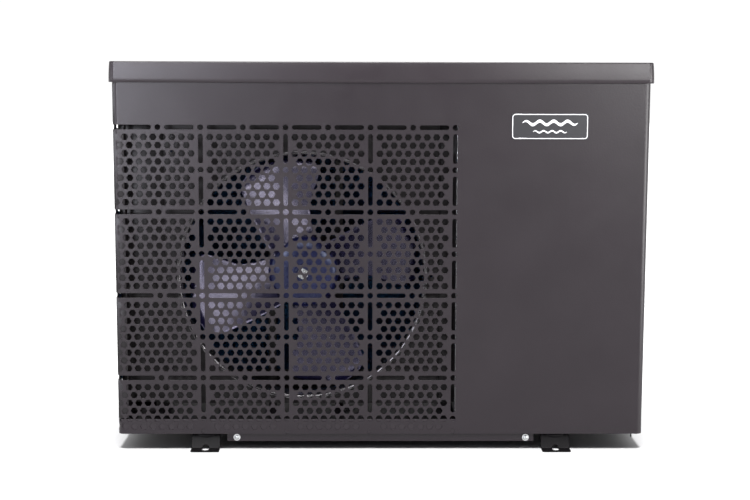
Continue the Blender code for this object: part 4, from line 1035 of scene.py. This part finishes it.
# the coil's rail takes the darker inner coat: painted shade inside the cabinet
b.piece("coil_fins", "cabinet", [M["fins"], M["inner"]], slot="coil_fins", replaces=("evaporator_coil",), smooth=0)
# straight tubes in the darkened copper: painted shade inside the fin pack
b = Build()
zs = [0.0735 + 0.0254 * i for i in range(20)]
for off, lift_z in ((-0.0110, 0.0), (0.0110, 0.0127)):
    for z in zs:
        path = []
        for i in range(41):
            s = 0.001 + (COIL_LEN - 0.002) * i / 40
            p, t = coil_point(s)
            path.append(p + Vector((-t.y, t.x, 0)) * off + Vector((0, 0, z + lift_z)))
        b.add(*sweep(path, 0.0036, 8))
b.piece("coil_tubes", "cabinet", M["tube"], slot="copper", smooth=40)
b = Build()  # hairpin bends at the left leg's free end
for z in zs[::2]:
    for off, lz in ((-0.0110, 0.0), (0.0110, 0.0127)):
        z0 = z + lz
        pts = [Vector((-0.401 - off, -0.100, z0))]
        for k in range(9):
            a = PI * k / 8
            pts.append(Vector((-0.401 - off, -0.1002 - 0.0026 * math.sin(a), z0 + 0.0127 * (1 - math.cos(a)))))
        pts.append(Vector((-0.401 - off, -0.100, z0 + 0.0254)))
        b.add(*sweep(pts, 0.0036, 8))
b.piece("coil_left_bends", "cabinet", M["copper"], slot="copper", smooth=40)

# ------------------------------------------------------------------ screws
def cross_head(origin, direction, r=0.0042, h=0.0019, up=None, washer=0.0):
    """A pan head with a cross recess, on an optional washer."""
    a, b2, d = axes(direction, up)
    origin = Vector(origin)
    g = [-1, -0.88, -0.68, -0.62, -0.40, -0.17, -0.12, 0.12, 0.17, 0.40, 0.62, 0.68, 0.88, 1]
    n = len(g)
    v, f = [], []
    base = 0.0009 if washer else 0.0
    for j, w in enumerate(g):
        for i, u in enumerate(g):
            x, y = u * math.sqrt(1 - w * w / 2), w * math.sqrt(1 - u * u / 2)
            q = x * x + y * y
            z = h * (1 - 0.75 * q ** 2.2)
            if (abs(u) <= 0.121 and abs(w) <= 0.63) or (abs(w) <= 0.121 and abs(u) <= 0.63):
                z = h * 0.30
            v.append(origin + a * (x * r) + b2 * (y * r) + d * (z + base))
    for j in range(n - 1):
        for i in range(n - 1):
            f.append([j * n + i, j * n + i + 1, (j + 1) * n + i + 1, (j + 1) * n + i])
    rim = [i for i in range(n)] + [j * n + n - 1 for j in range(1, n)] + [(n - 1) * n + i for i in range(n - 2, -1, -1)] + [j * n for j in range(n - 2, 0, -1)]
    k = len(v)
    for i in rim:
        p = v[i]
        v.append(p - d * ((p - origin).dot(d) + 0.0002))
    m = len(rim)
    for i in range(m):
        j = (i + 1) % m
        f.append([rim[i], k + i, k + j, rim[j]])
    f.append([k + i for i in range(m)])
    parts = [(v, f)]
    if washer:
        parts.append(lathe([(0.0, 0.0), (washer * 0.97, 0.0), (washer, 0.0002), (washer, 0.0007), (washer * 0.96, 0.0010), (0.0, 0.0010)], origin, direction, 28))
    return parts


def screws(name, spots, mat, body="cabinet", slot="zinc_steel", replaces=(), **kw):
    b = Build()
    for origin, direction in spots:
        for v, f in cross_head(origin, direction, **kw):
            b.add(v, f)
    return b.piece(name, body, M[mat], slot=slot, replaces=replaces, smooth=40)


for side, x, z in (("left", -0.2435, 0.0165), ("right", 0.2460, 0.0162)):
    screws(f"skirt_screw_head_{side}", [((x, -0.1313, z), (0, -1, 0))], "zinc", replaces=(f"skirt_screw_{side}",), washer=0.0060, r=0.0040, h=0.0024,
           up=(0.35, 0, 1))
screws("right_panel_screws", [((0.4421, y, z), (1, 0, 0)) for y in (-0.1030, 0.1030) for z in (0.060, 0.400, 0.600)], "guard")
screws("left_panel_screws", [((-0.4421, 0.1370, z), (-1, 0, 0)) for z in (0.060, 0.335, 0.590)], "guard", r=0.0034, h=0.0016)
screws("rear_panel_screws", [((x, 0.1451, z), (0, 1, 0)) for x in (0.1360, 0.4240) for z in (0.055, 0.250, 0.470, 0.602)], "guard")
screws("lid_side_screws", [((sg * 0.4466, y, 0.6270), (sg, 0, 0)) for sg in (-1, 1) for y in (-0.095, 0.095)], "guard")
screws("lid_rear_screws", [((x, 0.1496, 0.6270), (0, 1, 0)) for x in (-0.395, -0.130, 0.135, 0.395)], "guard")
screws("guard_screws", [((x, 0.1452, z), (0, 1, 0)) for x in (-0.3935, 0.1155) for z in (0.045, 0.318, 0.598)], "zinc", r=0.0036, h=0.0017)

tip = [(0.0, 0.0), (0.0003, 0.0004), (0.0009, 0.0022)]
for k in range(6):
    tip += [(0.0011 + 0.00005 * k, 0.0024 + 0.0010 * k), (0.0015 + 0.00003 * k, 0.0029 + 0.0010 * k)]
tip += [(0.0012, 0.0086), (0.0012, 0.0110), (0.0, 0.0110)]
b = Build()
b.add(*lathe(tip, (0.4245, -0.1392, 0.0178), (-0.12, 0.10, 1.0), 20))
b.piece("panel_screw_tip", "cabinet", M["guard"], slot="zinc_steel", smooth=40)

# ------------------------------------------------------------------ rear wire guard
GX0, GX1, GZ0, GZ1 = -0.3994, 0.1216, 0.0265, 0.6120
b = Build()
rect_o, rect_i = rounded_rect((GX1 - GX0) / 2, (GZ1 - GZ0) / 2, 0.002, 3, (GX0 + GX1) / 2, (GZ0 + GZ1) / 2), rounded_rect((GX1 - GX0) / 2 - 0.0125, (GZ1 - GZ0) / 2 - 0.0165, 0.004, 3, (GX0 + GX1) / 2, (GZ0 + GZ1) / 2)
b.add(*frame_ring(rect_o, rect_i, 0.1439, 0.1450))
b.add(*frame_ring(rect_i, [(x * 0.9999 - 0.0, z) for x, z in rounded_rect((GX1 - GX0) / 2 - 0.0133, (GZ1 - GZ0) / 2 - 0.0173, 0.004, 3, (GX0 + GX1) / 2, (GZ0 + GZ1) / 2)], 0.1400, 0.1450))
b.piece("guard_frame", "cabinet", M["guard"], slot="guard_coat", replaces=("rear_coil_guard",), smooth=30)
b = Build()
for i in range(24):
    x = GX0 + 0.0225 + i * (GX1 - GX0 - 0.045) / 23
    b.add(*sweep([(x, 0.1436, GZ0 + 0.010), (x, 0.1436, GZ1 - 0.010)], 0.0010, 10))
for k in range(9):
    z = GZ0 + 0.045 + k * (GZ1 - GZ0 - 0.090) / 8
    b.add(*sweep([(GX0 + 0.008, 0.1414, z), (GX1 - 0.008, 0.1414, z)], 0.0014, 10))
b.piece("guard_wires", "cabinet", M["guard"], slot="guard_coat", smooth=40)

# ------------------------------------------------------------------ union nut grip ribs
for name, z in (("inlet", 0.090), ("outlet", 0.400)):
    b = Build()
    b.add(*lathe([(0.0254, 0.1480), (0.0352, 0.1480), (0.0358, 0.1486), (0.0358, 0.1760), (0.0345, 0.1790), (0.0320, 0.1795), (0.0315, 0.1790), (0.0315, 0.1576), (0.0254, 0.1576)],
                 (0.340, 0, z), (0, 1, 0), 96, closed=True))
    for k in range(30):
        a = 2 * PI * k / 30
        d = Vector((math.cos(a), 0, math.sin(a)))
        t = Vector((-math.sin(a), 0, math.cos(a)))
        c = Vector((0.340, 0, z))
        v, f = [], []
        for y, s2 in ((0.1486, 0.6), (0.1500, 1.0), (0.1740, 1.0), (0.1762, 0.3)):
            for w, r in ((-0.0016, 0.0352), (-0.0013, 0.0352 + 0.0012 * s2), (0.0, 0.0352 + 0.0018 * s2), (0.0013, 0.0352 + 0.0012 * s2), (0.0016, 0.0352)):
                v.append(c + d * r + t * w + Vector((0, y, 0)))
        for q in range(3):
            for j in range(4):
                f.append([q * 5 + j, q * 5 + j + 1, (q + 1) * 5 + j + 1, (q + 1) * 5 + j])
            f.append([q * 5 + 4, q * 5, (q + 1) * 5, (q + 1) * 5 + 4])
        f += [[0, 1, 2, 3, 4][::-1], [15, 16, 17, 18, 19]]
        b.add(v, f)
    b.piece(f"union_nut_grip_{name}", f"{name}_nut", M["nut"], slot="nut_plastic", replaces=(f"union_nut_{name}",), smooth=40)

# ------------------------------------------------------------------ controller: segments and key symbols
def bar(c, along, length, width, out, depth=0.00022):
    """A thin printed bar with mitred ends lying in the Y-Z plane, facing +X."""
    a = Vector(along).normalized()
    n = Vector((0, -a.z, a.y))
    c = Vector(c)
    h, w = length / 2, width / 2
    pts = [(-h, 0), (-h + w, -w), (h - w, -w), (h, 0), (h - w, w), (-h + w, w)]
    v = [c + a * p + n * q + Vector((out, 0, 0)) for p, q in pts] + [c + a * p + n * q + Vector((out - depth, 0, 0)) for p, q in pts]
    f = [list(range(6)), list(range(6, 12))[::-1]] + [[i, 6 + i, 6 + (i + 1) % 6, (i + 1) % 6] for i in range(6)]
    return v, f


SEG = {"2": "abged", "8": "abcdefg", "6": "acdefg", "5": "acdfg", "0": "abcdef", "7": "abc", "3": "abcdg"}


def digit(b, ch, y, z, w=0.0090, h=0.0170, t=0.0020, out=0.0):
    for sgm in SEG[ch]:
        cy, cz, al, ln = {"a": (0, h / 2, (0, 1, 0), w), "g": (0, 0, (0, 1, 0), w), "d": (0, -h / 2, (0, 1, 0), w), "b": (w / 2, h / 4, (0, 0, 1), h / 2),
                          "c": (w / 2, -h / 4, (0, 0, 1), h / 2), "f": (-w / 2, h / 4, (0, 0, 1), h / 2), "e": (-w / 2, -h / 4, (0, 0, 1), h / 2)}[sgm]
        b.add(*bar((0, y + cy, z + cz), al, ln - 0.0006, t, out))


b = Build()
SX = 0.42918
digit(b, "2", -0.0360, 0.508, out=SX)
digit(b, "8", -0.0215, 0.508, out=SX)
digit(b, "2", 0.0080, 0.508, out=SX)
digit(b, "6", 0.0225, 0.508, out=SX)
for y in (-0.0085, 0.0355):
    b.add(*lathe([(0.0012, SX - 0.0002), (0.0012, SX), (0.0019, SX), (0.0019, SX - 0.0002)], (0, y, 0.5155), (1, 0, 0), 20, closed=True))
b.piece("display_digits", "cabinet", M["lit"], slot="display_glass", smooth=0)


def ring_x(c, r0, r1, out, depth=0.0002, n=28, a0=0.0, a1=2 * PI):
    v, f = [], []
    full = abs(a1 - a0 - 2 * PI) < 1e-6
    for i in range(n + 1):
        a = a0 + (a1 - a0) * i / n
        d = Vector((0, math.cos(a), math.sin(a)))
        for r, x in ((r0, out), (r1, out), (r1, out - depth), (r0, out - depth)):
            v.append(Vector(c) + d * r + Vector((x, 0, 0)))
    for i in range(n):
        for j in range(4):
            f.append([i * 4 + j, i * 4 + (j + 1) % 4, (i + 1) * 4 + (j + 1) % 4, (i + 1) * 4 + j])
    if not full:
        f += [[0, 1, 2, 3], [n * 4 + 3, n * 4 + 2, n * 4 + 1, n * 4]]
    return v, f


KX = 0.43145
b = Build().add(*ring_x((0, -0.045, 0.465), 0.0021, 0.0027, KX, a0=PI * 0.68, a1=PI * 2.32))
b.add(*bar((0, -0.045, 0.4671), (0, 0, 1), 0.0026, 0.0006, KX))
b.piece("power_symbol", "power_key", M["white"], slot="button_rubber", smooth=0)
b = Build()
for k in range(3):
    b.add(*bar((0, -0.015, 0.4667 - 0.0017 * k), (0, 1, 0), 0.0044, 0.0006, KX))
b.piece("mode_symbol", "mode_key", M["white"], slot="button_rubber", smooth=0)
for y, sg, body in ((0.015, 1, "up_key"), (0.045, -1, "down_key")):
    b = Build()
    b.add(*bar((0, y - 0.0011, 0.465), (0, 1, sg * 1.0), 0.0034, 0.0007, KX)).add(*bar((0, y + 0.0011, 0.465), (0, 1, -sg * 1.0), 0.0034, 0.0007, KX - 0.00002))
    b.piece(f"{body}_symbol", body, M["white"], slot="button_rubber", smooth=0)

# ------------------------------------------------------------------ gauge dial
GC = Vector((0, -0.060, 0.345))
b = Build()
b.add(*lathe([(0.0, 0.43605), (0.0282, 0.43605), (0.0283, 0.43630), (0.0280, 0.43640), (0.0, 0.43640)], GC, (1, 0, 0), 64))
b.piece("gauge_dial", "cabinet", M["dial"], slot="gauge_metal", smooth=30)
b = Build()
DX = 0.43652
for k in range(31):
    a = math.radians(225 - 270 * k / 30)
    d = Vector((0, math.cos(a), math.sin(a)))
    long = k % 5 == 0
    r0, r1 = (0.0205 if long else 0.0228), 0.0252
    b.add(*bar(GC + d * ((r0 + r1) / 2), d, r1 - r0, 0.0008 if long else 0.0004, DX))
b.add(*ring_x(GC, 0.0252, 0.0256, DX, n=60, a0=math.radians(-45), a1=math.radians(225)))
b.piece("gauge_scale", "cabinet", M["ink"], slot="gauge_metal", smooth=0)
for k in range(7):
    a = math.radians(225 - 45 * k)
    c = GC + Vector((0, math.cos(a), math.sin(a))) * 0.0168
    t = bpy.data.curves.new(f"dial_number_{k}", "FONT")
    t.body, t.size, t.align_x, t.align_y, t.extrude = str(k), 0.0072, "CENTER", "CENTER", 0.0001
    o = bpy.data.objects.new(f"dial_text_{k}", t)
    me = bpy.data.meshes.new_from_object(o)
    bpy.data.objects.remove(o)
    me.transform(Matrix(((0, 0, 1, DX - 0.0001), (1, 0, 0, c.y), (0, 1, 0, c.z), (0, 0, 0, 1))))
    me.materials.clear()
    ob = link(bpy.data.objects.new(f"dial_number_{k}", me))
    finish_piece(ob, "cabinet", M["ink"])

# ------------------------------------------------------------------ camera, floor, light
cam_data = bpy.data.cameras.new("camera")
cam = link(bpy.data.objects.new("camera", cam_data))
th, yaw, roll = 0.12838, -0.01244, -0.00299
right = Vector((math.cos(yaw), math.sin(yaw), 0))
ahead = Vector((-math.sin(yaw), math.cos(yaw), 0))
fwd = ahead * math.cos(th) - Vector((0, 0, math.sin(th)))
up = ahead * math.sin(th) + Vector((0, 0, math.cos(th)))
cx = right * math.cos(roll) - up * math.sin(roll)
cy = right * math.sin(roll) + up * math.cos(roll)
cam.matrix_world = Matrix(((cx.x, cy.x, -fwd.x, -0.0397), (cx.y, cy.y, -fwd.y, -2.480), (cx.z, cy.z, -fwd.z, 0.640), (0, 0, 0, 1)))
cam_data.sensor_width = 36.0
cam_data.lens = 68.13
cam_data.clip_start, cam_data.clip_end = 0.05, 60.0
bpy.context.scene.camera = cam

floor_me = bpy.data.meshes.new("floor")
floor_me.from_pydata([(-14, -14, 0), (14, -14, 0), (14, 14, 0), (-14, 14, 0)], [], [(0, 1, 2, 3)])
floor = link(bpy.data.objects.new("floor", floor_me))
m, nt, b = tree("studio_floor")
nt.links.new(ramp(nt, noise(nt, 1.2, 2.0), [(0.3, (0.84, 0.84, 0.85)), (0.7, (0.87, 0.87, 0.87))]), b.inputs["Base Color"])
b.inputs["Roughness"].default_value = 0.9
b.inputs["Specular IOR Level"].default_value = 0.1
floor_me.materials.append(m)

world = bpy.data.worlds.new("studio")
bpy.context.scene.world = world
world.use_nodes = True
wn = world.node_tree
bg = wn.nodes["Background"]
bg.inputs["Strength"].default_value = 1.1
way = wn.nodes.new("ShaderNodeTexCoord")
split = wn.nodes.new("ShaderNodeSeparateXYZ")
wn.links.new(way.outputs["Generated"], split.inputs[0])
# a white wall behind, a dark room in front
wn.links.new(ramp(wn, remap(wn, split.outputs["Y"], 0.0, 1.0, -0.75, 0.25), [(0.0, (0.040, 0.038, 0.042)), (0.45, (0.12, 0.12, 0.13)), (1.0, (1.0, 1.0, 1.0))]), bg.inputs["Color"])
seen = node(wn, "ShaderNodeBackground", {"Color": (1, 1, 1, 1), "Strength": 1.05})
mix = wn.nodes.new("ShaderNodeMixShader")
lp = wn.nodes.new("ShaderNodeLightPath")
wn.links.new(lp.outputs["Is Camera Ray"], mix.inputs["Fac"])
wn.links.new(bg.outputs[0], mix.inputs[1])
wn.links.new(seen.outputs[0], mix.inputs[2])
wn.links.new(mix.outputs[0], wn.nodes["World Output"].inputs["Surface"])


def softbox(name, place, target, w, h, radiance, colour=(1, 1, 1)):
    """A rectangular soft light of even brightness."""
    d = bpy.data.lights.new(name, "AREA")
    d.shape = "RECTANGLE"
    d.size, d.size_y = w, h
    d.energy = radiance * PI * w * h
    d.color = colour
    ob = link(bpy.data.objects.new(name, d))
    ob.location = place
    ob.rotation_mode = "QUATERNION"
    ob.rotation_quaternion = (Vector(target) - Vector(place)).to_track_quat("-Z", "Y")
    ob.visible_camera = False
    return ob


lamps = [
    softbox("softbox_left", (-1.035, -1.90, 0.84), (-0.30, -0.14, 0.50), 0.60, 1.04, 16.5, (0.90, 0.91, 1.0)),
    softbox("softbox_right", (1.065, -1.90, 0.98), (0.30, -0.14, 0.50), 0.80, 0.58, 18.5),
    softbox("softbox_left_strip", (-2.35, -0.95, 0.60), (-0.44, -0.14, 0.35), 0.8, 1.1, 5.0, (0.92, 0.93, 1.0)),
    softbox("softbox_low", (1.90, -1.10, 0.45), (-0.13, -0.10, 0.35), 1.2, 0.9, 11.0),
    softbox("softbox_top", (-0.45, -1.75, 2.00), (-0.20, -0.08, 0.28), 1.7, 1.4, 8.5),
]
# the soft boxes are flagged off the floor, which has its own even light from above
flagged = bpy.data.collections.new("flagged_from_softboxes")
flagged.objects.link(floor)
flagged.collection_objects[0].light_linking.link_state = "EXCLUDE"
for lamp in lamps:
    lamp.light_linking.receiver_collection = flagged
sun_data = bpy.data.lights.new("overhead_light", "SUN")
sun_data.energy, sun_data.angle = 4.1, math.radians(20)
sun = link(bpy.data.objects.new("overhead_light", sun_data))
sun.location = (0, 0, 4)
sun.rotation_euler = (math.radians(5), 0, 0)

view = bpy.context.scene.view_settings
view.view_transform = "Standard"
view.look = "None"
view.exposure, view.gamma = 0.0, 1.0
